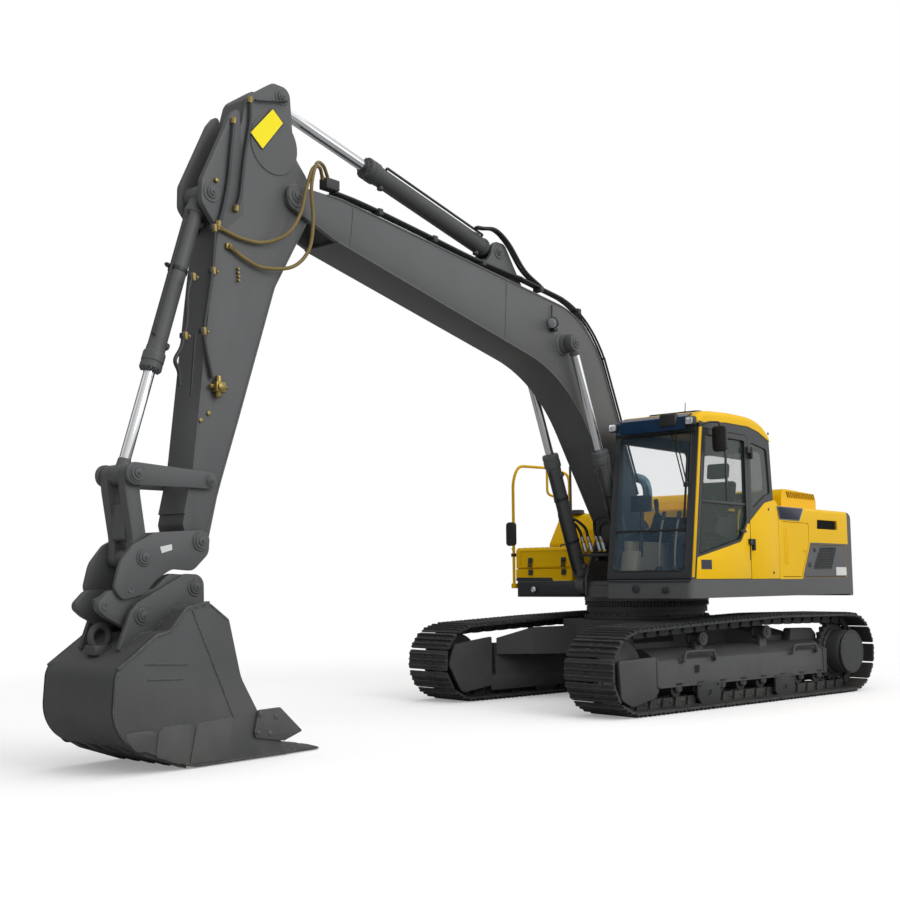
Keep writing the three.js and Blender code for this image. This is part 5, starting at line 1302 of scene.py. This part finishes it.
def pillarAt(z):
    return cab["front"] + cab["lean"] * (z - cab["floor"])


def onFront(part):
    # Written upright at y = 0, then leaned back with the windshield and set on the cab's front face.
    points, faces = part
    c, s = math.cos(frontLean), math.sin(frontLean)
    y, z = points[:, 1], points[:, 2] - cab["floor"]
    return np.column_stack([points[:, 0], y * c + z * s + cab["front"], z * c - y * s + cab["floor"]]), faces


def buildHousing():
    refined("main_frame", greyPaint, 0.012, 3)
    refined("counterweight", greyPaint, 0.034, 5, 20)
    refined("engine_housing", yellowPaint, 0.006, 3)
    refined("engine_hood", yellowPaint, 0.026, 4, 25)
    refined("engine_block", castDark, 0.02, 3)
    refined("left_side_door", yellowPaint, 0.005, 3)
    refined("left_grille_door", greyPaint, 0.005, 3)
    refined("pump_door", yellowPaint, 0.005, 3)
    refined("fuel_tank", yellowPaint, 0.03, 4, 25)
    refined("hydraulic_tank", yellowPaint, 0.03, 4, 25)
    side = body["side"]
    tail = body["tail"]
    strips = [plate([(1108, 1263), (tail, 1263), (tail, 1283), (1116, 1283)], side - 1, side + 2, "x", 0),
        plate([(2317, 1283), (tail, 1283), (tail, 1671), (2317, 1671)], side - 1, side + 2, "x", 0),
        plate([(1337, 1652), (2317, 1652), (2317, 1671), (1345, 1671)], side - 1, side + 2, "x", 0),
        plate([(1101, 1270), (1134, 1284), (1350, 1650), (1336, 1671)], side - 1, side + 2, "x", 0)]
    makePiece("housing_dark_trim", strips, greyPaint)
    # vent: painted shade, a near-black back with near-black leaning slats
    vent = rounded([(1520, 1830, 8), (2090, 1830, 8), (2075, 1935, 8), (1535, 1935, 8)])
    slats = [block((side - 30, side - 12), (1530, 2082), (z, z + 5), 1) for z in np.linspace(1842, 1922, 6)]
    makePiece("vent_slats_and_shade", slats + [plate(vent, side - 38, side - 34, "x", 0)], shadeAndScreenBlack)
    # blank badge over the side door
    badge = [(505, 2050, 10), (1170, 2050, 10), (1062, 1904, 14), (568, 1904, 14)]
    makePiece("blank_badge", [plate(badge, side - 1, side + 5, "x", 2)], badgeBlue)
    edge = atX(side + 5, narrowed(rounded(badge), 6))
    makePiece("blank_badge_rim", [swept(edge, 3, 6, True)], bareSteel)
    # grille door: painted shade, a near-black sheet for the pressed recess behind a fine mesh, and a blank plate
    grille = rounded([(1394, 1377, 20), (1881, 1378, 20), (2031, 1624, 20), (1588, 1617, 20)])
    makePiece("grille_shade_backing", [plate(grille, side - 2, side + 1.5, "x", 0)], shadeAndScreenBlack, "left_grille_door")
    low = between((1406, 1382), (1876, 1382), 23)
    high = between((1590, 1614), (2022, 1614), 23)
    ribs = [bar((side + 1, *a), (side + 1, *b), 2, 0.5, 6) for a, b in zip(low, high)]
    rows = [bar((side + 1, 1410 + 182 * k, 1384 + 228 * k), (side + 1, 1872 + 146 * k, 1384 + 228 * k), 2, 0.5,
        6) for k in np.linspace(0.05, 0.95, 12)]
    rim = swept(atX(side + 1, grille), 5, 8, True)
    makePiece("grille_bars", ribs + rows + [rim], castDark, "left_grille_door")
    makePiece("tail_blank_plate", [plate(rect(2010, 2300, 1300, 1396, 4), side - 1, side + 3, "x", 0)], plateWhite,
        "left_grille_door")
    latch = lambda y, z, sideX, way: [block((min(sideX, sideX + way * 5), max(sideX, sideX + way * 5)),
        (y - 34, y + 34), (z - 26, z + 26), 3, 8), turned((sideX + way * 4, y, z), (way, 0, 0),
        [(0, 14), (5, 14), (7, 10), (7, 0)], 20)]
    makePiece("side_door_latch", latch(1185, 1583, side, 1), yellowPaint, "left_side_door")
    makePiece("grille_door_latch", latch(1440, 1590, side, 1) + latch(1300, 1420, side, 1), castDark,
        "left_grille_door")
    makePiece("pump_door_latch", latch(1240, 1600, -side, -1), castDark, "pump_door")
    pumpVents = [block((-side - 4, -side + 1), (1360 + 95 * k, 1420 + 95 * k), (1520 + 40 * j, 1532 + 40 * j),
        2) for k in range(9) for j in range(9)]
    makePiece("pump_door_louvres", pumpVents, yellowPaint, "pump_door")
    doorRibs = [block((side - 1, side + 3), (y, y + 10), (1420, 1820), 1) for y in (664, 700, 736)]
    makePiece("side_door_ribs", doorRibs, yellowPaint, "left_side_door")
    # hood: louvres high on the hump with painted shade in their slots, grips, and vents on its top painted as
    # near-black shade strips
    slotShade, hoods = [], []
    for k in range(16):
        y = 1400 + 47 * k
        slotShade.append(plate([(y, 2200, 9), (y + 20, 2200, 9), (y - 16, 2268, 9), (y - 36, 2268, 9)], 1055, 1062, "x",
            0))
        hoods.append(plate([(y + 20, 2196, 6), (y + 31, 2200, 6), (y - 7, 2272, 6), (y - 18, 2268, 6)], 1055, 1072,
            "x", 3))
    makePiece("hood_louvre_slot_shade", slotShade, shadeAndScreenBlack, "engine_hood")
    makePiece("hood_louvre_hoods", hoods, yellowPaint, "engine_hood")
    grips = [pipe([(x, 860, 2088), (x, 860, 2148), (x, 1040, 2148), (x, 1040, 2088)], 11, 10, 40) for x in (-700, 700)]
    topVentShade = [block((-620 + 90 * k, -570 + 90 * k), (1560, 2010), (2284, 2297), 2) for k in range(15)]
    makePiece("hood_grips", grips, blackPaint, "engine_hood")
    makePiece("hood_top_vent_shade", topVentShade, shadeAndScreenBlack, "engine_hood")
    # tail: lifting eyes, and the rail along the hood's right edge
    eyes = []
    for x in (-620, 620):
        eyes += [pipe([(x - 55, 2460, 2040), (x - 55, 2460, 2108), (x + 55, 2460, 2108), (x + 55, 2460, 2040)], 20, 12,
            50)]
    makePiece("tail_lifting_eyes", eyes, castDark)
    rail = [pipe([(-side + 60, 1150, 2050), (-side + 60, 1150, 2160), (-side + 60, 2250, 2160),
        (-side + 60, 2250, 2050)], 15, 10, 60), pipe([(-side + 60, 1700, 2050), (-side + 60, 1700, 2160)], 13, 10, 10)]
    makePiece("hood_side_rail", rail, yellowPaint)


def buildRightFront():
    refined("tool_box", yellowPaint, 0.008, 3)
    refined("tool_box_lid", yellowPaint, 0.012, 4)
    # raised panel and two spring latches on the lid's front
    front = -630
    rim = rounded([(-1272, 1604, 24), (-574, 1604, 24), (-574, 1424, 28), (-1272, 1424, 28)], 6)
    makePiece("tool_box_panel", [swept(np.column_stack([rim[:, 0], np.full(len(rim), front - 2), rim[:, 1]]), 6, 8,
        True)], yellowPaint, "tool_box_lid")
    hasps, keepers = [], []
    for x in (-1126, -668):
        hasps += [block((x - 30, x + 30), (front - 15, front - 5), (1470, 1524), 3), bar((x - 15, front - 22, 1500),
            (x - 15, front - 22, 1424), 9, 2, 10), bar((x + 15, front - 22, 1500), (x + 15, front - 22, 1424), 9, 2,
            10), bar((x - 26, front - 22, 1424), (x + 26, front - 22, 1424), 10, 2, 10)]
        keepers += [block((x - 30, x + 30), (front - 14, front + 24), (1340, 1392), 3),
            bar((x, front - 18, 1388), (x, front - 18, 1330), 11, 2, 10), bar((x - 24, front - 18, 1336),
            (x + 24, front - 18, 1336), 10, 2, 10)]
    makePiece("lid_latch_hasps", hasps, castDark, "tool_box_lid")
    makePiece("lid_latch_keepers", keepers, castDark)
    grip = [pipe([(-1040, -160, 1636), (-1040, -160, 1680), (-840, -160, 1680), (-840, -160, 1636)], 9, 10, 26)]
    nonSlip = [block((-1290 + 82 * k, -1250 + 82 * k), (-560, -220), (1639, 1643), 2) for k in range(9)]
    makePiece("lid_grip", grip, blackPaint, "tool_box_lid")
    makePiece("lid_tread_strips", nonSlip, plastic, "tool_box_lid")
    # front apron of the deck with its notch and lamp
    apron = [plate([(-1345, 1262, 12), (-1330, 1303, 30), (-840, 1298, 12), (-812, 1262, 10)], front - 4, front + 12,
        "y", 4), block((-1310, -480), (front - 12, front + 6), (1096, 1250), 8, 24), turned((-1073, front - 12, 1165),
        (0, -1, 0), [(0, 44), (14, 44), (18, 36), (18, 0)], 24)]
    makePiece("right_deck_apron", apron, cabBlack)
    makePiece("right_deck_lamp", [turned((-1073, front - 28, 1165), (0, -1, 0), [(0, 34), (6, 32), (10, 22), (11, 0)],
        24)], lampLens)
    # handrail with its mirror
    x = -1380
    rail = pipe([(x, -615, 1202), (x, -615, 2425), (x, -510, 2600), (x, 120, 2615), (x, 520, 2560), (x, 520, 1978)],
        17, 14, 110, 8)
    post = pipe([(x, 60, 2604), (x, 60, 2300), (x, 330, 2250), (x, 330, 1978)], 15, 14, 60, 6)
    feet = [block((x - 24, x + 38), (-640, -590), (1180, 1236), 6), bolt((x - 24, -615, 1208), (-1, 0, 0), 12, 9)]
    feet += [block((x - 22, x + 36), (at - 22, at + 22), (1948, 1998), 5) for at in (330, 520)]
    makePiece("handrail_tube", [rail, post] + feet, yellowPaint, stands=["handrail"], smooth=60)
    mirror = [plate(rect(-1478, -1342, 1665, 1940, 40), -640, -600, "y", 14), bar((-1400, -620, 1640),
        (-1370, -615, 1560), 9, 2, 10), block((-1410, -1350), (-632, -596), (1540, 1580), 6)]
    makePiece("right_mirror_shell", mirror, plastic)
    makePiece("right_mirror_face", [plate(rect(-1468, -1352, 1678, 1928, 30), -601, -598, "y", 0)], mirrorFace)
    # tanks: filler caps, breather, tread plates
    tankParts = [turned((-1110, 300, 2054), (0, 0, 1), [(0, 92), (10, 92), (14, 80), (44, 78), (50, 70), (50, 0)], 36),
        turned((-690, 840, 2056), (0, 0, 1), [(0, 60), (10, 60), (12, 34), (60, 34), (70, 52), (110, 52), (118, 40),
        (118, 0)], 28)]
    makePiece("tank_caps", tankParts, blackPaint)
    makePiece("tank_lid", [turned((-690, 520, 2054), (0, 0, 1), [(0, 130), (8, 130), (11, 118), (13, 0)], 48),
        boltCircle((-690, 520, 2064), (0, 0, 1), 104, 6, 9, 6)], yellowPaint)
    treads = [block((-1330 + 104 * k, -1280 + 104 * k), (420, 1020), (2056, 2061), 2) for k in range(4)]
    makePiece("tank_tread_strips", treads, plastic)
    rod = [pipe([(-993, -10, 1262), (-993, -10, 2570), (-993, -10, 2600), (-953, -10, 2604), (-893, -10, 2606),
        (-883, -10, 2560), (-923, -10, 2500), (-893, -10, 2450), (-863, -10, 2480)], 15, 12, 24),
        turned((-993, -10, 1262), (0, 0, 1), [(0, 26), (10, 26), (14, 22), (40, 20), (44, 0)], 20)]
    makePiece("deck_hook_rod", rod, blackPaint)
    # between the cheeks: four steel fittings with brass collars on a bracket
    silver, collars = [], []
    for route in footLoops:
        end, x = np.array(route[0], float), route[0][0]
        low = end + [52, 0, -158]
        axis = (end - low) / np.linalg.norm(end - low)
        silver += [bar(low, end - axis * 40, 22, 4, 6), bar(end - axis * 44, end + axis * 12, 19, 3, 16)]
        collars += [bar(end - axis * 62, end - axis * 40, 25, 3, 6), bar(low - axis * 4, low + axis * 20, 27, 3, 6)]
    bracket = [block((-270, 90), (-900, -822), (1516, 1548), 8), block((-120, -60), (-850, -600), (1470, 1520), 8)]
    makePiece("cheek_hose_fittings", silver, bareSteel)
    makePiece("cheek_hose_collars", collars, brass)
    makePiece("cheek_hose_bracket", bracket, cabBlack)
    stack = [pipe([(-330, 622, 2058.3), (-330, 622, 2330), (-370, 622, 2440), (-500, 622, 2480)], 55, 24, 90, 8),
        turned((-330, 622, 2058), (0, 0, 1), [(0, 84), (10, 84), (16, 70), (60, 66), (64, 56)], 32)]
    makePiece("exhaust_pipe", stack, exhaustSteel, stands=["exhaust_stack"], smooth=60)
    # painted shade: a near-black disc over the pipe's closed end stands in for the shade inside its mouth
    makePiece("exhaust_mouth_shade", [turned((-496, 622, 2479), (-0.95, 0, 0.3), [(0, 50), (5, 50)], 24)], shadeAndScreenBlack)
    deckBits = [turned((726, -1375, 1175), (0, -1, 0), [(-2, 44), (5, 44), (9, 36), (9, 0)], 28),
        block((1034, 1100), (-1392, -1374), (1136, 1194), 5), bar((1067, -1400, 1150), (1067, -1400, 1182), 9, 2, 8),
        block((395, 1340), (-1384, -1374), (1240, 1256), 4)]
    makePiece("deck_front_fittings", deckBits, cabBlack)


def buildCab():
    refined("cab_frame", cabBlack, 0.012, 3)
    refined("cab_door", cabBlack, 0.009, 3)
    left, right = cab["left"], cab["right"]
    # roof: in the side view a low line and a high line; the high line drops on a quarter circle at both sides
    y = np.linspace(-1160, 392, 70)
    low = np.interp(y, [-1160, -1140, -600, -105, 130, 385, 392], [2808, 2813, 2859, 2863, 2826, 2744, 2742])
    high = np.interp(y, [-1160, -1130, -1080, -900, -450, -100, 60, 200, 300, 360, 392],
        [2850, 2898, 2928, 2955, 2976, 2974, 2962, 2928, 2885, 2840, 2800])
    high = np.convolve(np.pad(high, 3, "edge"), np.ones(7) / 7, "valid")
    high[0], high[-1] = 2846, 2798
    low[-1] = 2738
    radius = 62
    t = np.radians(np.linspace(0, 90, 8))
    xs = np.concatenate([left + 6 - radius * (1 - np.cos(t)), (right - 6 + radius * (1 - np.cos(t)))[::-1]])
    drop = radius * (1 - np.sin(t))
    drop = np.concatenate([drop, drop[::-1]])
    rings = [np.concatenate([np.column_stack([np.full(len(y), x), y, low]), np.column_stack([np.full(len(y), x), y,
        np.maximum(high - d, low + 6)])[::-1]]) for x, d in zip(xs, drop)]
    makePiece("cab_roof_shell", [loft(rings)], yellowPaint, stands=["cab_roof"], smooth=50)
    hatch = [plate(rect(560, 1170, -820, -160, 60), 2960, 2984, "z", 8), pipe([(700, -520, 2980), (700, -520, 3010),
        (1030, -520, 3010), (1030, -520, 2980)], 9, 8, 20)]
    makePiece("cab_roof_hatch", hatch, cabBlack)
    bumper = turned((left + 2, 366, 2826), (1, 0, 0), [(0, 15), (5, 14), (6, 0)], 16)
    makePiece("roof_lip_stop", bumper, plastic)
    # yellow strip along the left front pillar
    strip = plate([(pillarAt(1284) + 14, 1284, 6), (pillarAt(1284) + 62, 1284, 6), (pillarAt(2800) + 62, 2800, 6),
        (pillarAt(2800) + 14, 2800, 6)], left - 40, left + 8, "x", 7)
    makePiece("pillar_strip", [strip], yellowPaint)
    # yellow lower panels of the door and of the cab's rear quarter
    doorPanel = [(pillarAt(1268) + 98, 1268, 10), (-127, 1268, 10), (-127, 1842, 6), (-176, 1836, 30),
        (-322, 1648, 110), (pillarAt(1480) + 98, 1478, 20)]
    makePiece("door_panel", [plate(doorPanel, left - 1, left + 6, "x", 4)], yellowPaint, "cab_door")
    quarter = [(-113, 1266, 6), (541, 1266, 6), (541, 2046, 10), (505, 2098, 30), (440, 2110, 40), (228, 2072, 170),
        (-60, 1900, 60), (-113, 1866, 10)]
    makePiece("quarter_panel", [plate(quarter, left - 1, left + 5, "x", 4)], yellowPaint)
    marks = [turned((left + 4, 315, 2006), (1, 0, 0), [(0, 16), (4, 15), (5, 0)], 16),
        turned((left + 4, 392, 1330), (1, 0, 0), [(0, 16), (4, 15), (5, 0)], 16)]
    makePiece("quarter_marks", marks, plastic)
    makePiece("door_edge_slot", [block((left + 4, left + 8), (-146, -132), (1461, 1627), 1, 3)], plastic, "cab_door")
    makePiece("door_blank_plate", [plate(rect(-1176, -968, 1364, 1456, 4), left + 5, left + 8, "x", 0)], badgeBlue,
        "cab_door")
    # door: window bars, seal, sunblind and grab handle
    z = 2035
    bars = [block((left - 30, left - 6), (pillarAt(z) + 130, -175), (z - 14, z + 14), 3),
        block((left - 32, left - 14), (-572, -546), (z, 2712), 3), block((left - 3, left + 10), (-330, -210),
        (1742, 1772), 5)]
    makePiece("door_window_bars", bars[:2], cabBlack, "cab_door")
    window = rounded([(pillarAt(1500) + 140, 1500, 25), (-330, 1668, 90), (-182, 1860, 60), (-182, 2710, 40),
        (pillarAt(2710) + 140, 2710, 40)])
    seal = swept(atX(left - 2, narrowed(window, 4)), 7, 8, True)
    blind = [(pillarAt(2500) + 160, 2500, 10), (-200, 2500, 10), (-200, 2694, 20), (pillarAt(2694) + 160, 2694, 20)]
    makePiece("door_sunblind", [plate(blind, left - 30, left - 26, "x", 0)], blindTint, "cab_door")
    makePiece("door_window_seal", [seal, bars[2]], plastic, "cab_door", smooth=60)
    grab = hose([(left - 60, -250, 1690), (left - 90, -210, 1760), (left - 92, -200, 1880), (left - 60, -214, 1985)],
        13, 10)
    yellowBits = [grab, block((left - 64, left - 40), (-470, -360), (1960, 1985), 5)]
    makePiece("door_grab_handle", yellowBits, yellowPaint, "cab_door", smooth=60)
    # windshield split bar, seals, wiper with two arms, visor, lamps
    split = onFront(plate(rect(right + 46, left - 60, 1748, 1768, 4), 4, 30, "y", 3))
    frontWindow = rounded([(right + 60, 1345, 60), (left - 70, 1345, 60), (left - 70, 2735, 40),
        (right + 60, 2735, 40)])
    sealRing = narrowed(frontWindow, 4)
    glassSeal = onFront(swept(np.column_stack([sealRing[:, 0], np.full(len(sealRing), 2), sealRing[:, 1]]), 8, 8,
        True))
    makePiece("windshield_seals", [split, glassSeal], plastic, smooth=60)
    wiper = [onFront(bar((1040, -34, 2800), (1236, -26, 2190), 7, 2, 8)), onFront(bar((1085, -34, 2800),
        (1262, -26, 2210), 7, 2, 8)), onFront(block((1228, 1274), (-36, -18), (2176, 2222), 5)),
        onFront(block((1243, 1255), (-16, -4), (1800, 2560), 3)),
        onFront(block((1238, 1260), (-24, -14), (1830, 2530), 3)),
        onFront(block((960, 1160), (-125, -60), (2780, 2915), 24)), onFront(turned((1061, -92, 2820), (0, -1, 0),
        [(0, 34), (20, 32), (26, 24), (26, 0)], 24))]
    makePiece("wiper", wiper, plastic)
    visorSide = [(-1110, 2918), (-1230, 2872), (-1262, 2742), (-1256, 2740), (-1222, 2864), (-1108, 2908)]
    makePiece("sun_visor", [plate(visorSide, 470, 1262, "x", 0)], visorTint)
    header = [onFront(plate(rect(right + 6, left - 20, 2745, 2800, 10), -14, 20, "y", 6))]
    makePiece("windshield_header", header, cabBlack)
    lamps, lenses = [], []
    for x in (430, 1318):
        lamps += [block((x - 46, x + 46), (-1282, -1206), (2776, 2862), 12), block((x - 12, x + 12), (-1215, -1140),
            (2786, 2812), 4)]
        lenses += [plate(rect(x - 38, x + 38, 2784, 2854, 12), -1289, -1276, "y", 4)]
    makePiece("cab_lamp_shells", lamps, plastic)
    makePiece("cab_lamp_lenses", lenses, lampLens)
    # left mirror on its arm, aerial
    mirror = [plate(rect(1366, 1526, 2530, 2790, 40), -925, -880, "y", 16)]
    arm = [pipe([(1346, -1100, 2790), (1400, -1020, 2822), (1446, -905, 2826), (1446, -900, 2780)], 9, 10, 30),
        block((1338, 1356), (-1150, -1090), (2770, 2830), 5)]
    makePiece("left_mirror_shell", mirror + arm, plastic)
    makePiece("left_mirror_face", [plate(rect(1378, 1514, 2544, 2776, 30), -882, -878, "y", 0)], mirrorFace)
    aerial = [bar((1062, -900, 2960), (1062, -890, 3060), 4, 1, 8), turned((1062, -900, 2955), (0, 0, 1),
        [(0, 18), (14, 14), (20, 6)], 16)]
    makePiece("aerial", aerial, plastic)


def buildGlass():
    for node, finish in (("windshield", cabGlass), ("door_glass", sideGlass), ("quarter_glass", rearTint),
            ("right_glass", cabGlass), ("rear_glass", cabGlass)):
        frame["nodes"][node].material_slots[0].material = finish


def buildInterior():
    refined("seat_base", plastic, 0.012, 3)
    middle = (cab["right"] + cab["left"]) / 2
    floorTop = 1308
    levers, grips, boots = [], [], []
    for x in (middle - 90, middle + 90):
        levers.append(hose([(x, -1000, 1330), (x, -990, 1560), (x, -940, 1790), (x, -900, 1880)], 11, 10))
        boots.append(turned((x, -1000, floorTop), (0, 0, 1), [(0, 60), (20, 60), (34, 48), (44, 52), (56, 40),
            (66, 43), (80, 30), (92, 22), (92, 0)], 24))
        grips.append(turned((x, -905, 1868), (0, 0.35, 1), [(0, 14), (10, 20), (70, 22), (92, 18), (100, 8), (100, 0)],
            20))
        boots.append(block((x - 58, x + 58), (-1230, -1060), (floorTop + 40, floorTop + 58), 6, 14))
    makePiece("travel_levers", levers, consoleGrey)
    makePiece("travel_lever_grips", grips + boots, plastic)
    sticks = []
    for x in (middle - 332, middle + 332):
        sticks += [turned((x, -600, 1890), (0, -0.15, 1), [(0, 62), (14, 60), (26, 46), (38, 50), (50, 34), (62, 36),
            (74, 22), (96, 16), (100, 20), (190, 27), (214, 24), (226, 12), (226, 0)], 28),
            block((x - 56, x + 56), (-420, -60), (1896, 1932), 12, 26)]
    makePiece("joysticks", sticks, plastic)
    monitor = [plate(rect(470, 700, 1960, 2130, 20), -1030, -990, "y", 10), bar((585, -1000, 1960), (560, -1000, 1500),
        22, 4, 12)]
    makePiece("monitor_shell", monitor, plastic)
    makePiece("monitor_screen", [plate(rect(486, 684, 1976, 2114, 10), -991, -986, "y", 0)], shadeAndScreenBlack)
    trims = [block((cab["right"] + 46, cab["right"] + 120), (-1120, 400), (floorTop, 1660), 14),
        block((cab["right"] + 60, cab["left"] - 60), (250, 412), (floorTop, 2120), 26),
        block((cab["right"] + 60, cab["left"] - 60), (-1290, 400), (floorTop - 2, floorTop + 10), 3),
        plate([(-1230, 1330, 30), (-1130, 1330, 30), (-1100, 1560, 30), (-1180, 1560, 30)], cab["right"] + 60,
        cab["right"] + 250, "x", 12)]
    makePiece("cab_trim", trims, consoleGrey)
    headliner = [block((cab["right"] + 60, cab["left"] - 60), (-900, 240), (2790, 2806), 8)]
    makePiece("cab_headliner", headliner, consoleGrey)
    belt = swept(smoothPath([(middle + 262, -90, 1700), (middle + 268, -150, 1790), (middle + 250, -80, 1900)], 8),
        np.array([(-3, -24), (3, -24), (3, 24), (-3, 24)]))
    makePiece("seat_belt", [belt, block((middle + 250, middle + 280), (-130, -80), (1660, 1720), 6)], redPlastic)


cushions = {"voxel": 0.008, "pressure": 4.0, "frames": 20, "cap": 0.016, "sink": 12}


def inflate(piece):
    # Cloth filled by pressure, held to a largest move, then kept as the mesh.
    remesh = piece.modifiers.new("remesh", "REMESH")
    remesh.mode, remesh.voxel_size = "VOXEL", cushions["voxel"]
    bpy.context.view_layer.objects.active = piece
    bpy.ops.object.select_all(action="DESELECT")
    piece.select_set(True)
    bpy.ops.object.modifier_apply(modifier="remesh")
    count = len(piece.data.vertices)
    before = np.empty(count * 3)
    piece.data.vertices.foreach_get("co", before)
    cloth = piece.modifiers.new("cloth", "CLOTH")
    cloth.settings.use_pressure = True
    cloth.settings.uniform_pressure_force = cushions["pressure"]
    cloth.settings.effector_weights.gravity = 0
    cloth.settings.tension_stiffness = cloth.settings.compression_stiffness = 30
    for step in range(1, cushions["frames"] + 1):
        bpy.context.scene.frame_set(step)
    bpy.ops.object.modifier_apply(modifier="cloth")
    bpy.context.scene.frame_set(1)
    after = np.empty(count * 3)
    piece.data.vertices.foreach_get("co", after)
    step = (after - before).reshape(-1, 3)
    length = np.linalg.norm(step, axis=1)[:, None]
    step *= np.minimum(1, cushions["cap"] / np.maximum(length, 1e-9))
    piece.data.vertices.foreach_set("co", (before.reshape(-1, 3) + step).ravel())
    piece.data.shade_smooth()
    piece.data.update()


def buildSeat():
    # The seat's pads start a little small and are blown up; piping then marks off side rolls from a middle panel.
    middle = (cab["right"] + cab["left"]) / 2
    sink = cushions["sink"]
    base = plate([(-548, 1745, 60), (-530, 1652, 30), (-92, 1652, 30), (-84, 1734, 40)], middle - 255 + sink,
        middle + 255 - sink, "x", 34)
    back = plate([(-44, 1665, 20), (46, 1665, 20), (154, 2318, 60), (66, 2336, 60)], middle - 240 + sink,
        middle + 240 - sink, "x", 34)
    head = plate([(80, 2352, 30), (150, 2346, 30), (176, 2506, 50), (104, 2524, 50)], middle - 128, middle + 128, "x",
        26)
    made = []
    for name, part, node in (("seat_pad", base, "seat_cushion"), ("back_pad", back, "seat_backrest"),
            ("head_pad", head, None)):
        piece = makePiece(name, part, seatCloth, stands=[node] if node else [], smooth=60)
        inflate(piece)
        made.append(piece)
    piping = []
    for hand in (-1, 1):
        x = middle + hand * 150
        piping += [hose([(x, -548, 1700), (x, -520, 1752), (x, -320, 1758), (x, -120, 1752)], 4, 8, 10),
            hose([(x, -46, 1720), (x, -14, 1900), (x, 30, 2150), (x, 66, 2320)], 4, 8, 10)]
    makePiece("seat_piping", piping, plastic, smooth=70)


seatCloth = makeFinish("seat cloth", "seat_cloth", "33383c", 0.9, shade=0.14, scale=700.0, speckle=1.0, bump=0.6,
    depth=0.002, Sheen_Weight=0.3)

buildHousing()
buildRightFront()
buildCab()
buildGlass()
buildInterior()
buildSeat()
print("upper body made")


# ---- the end: the count of pieces

print("pieces made:", pieceCount)
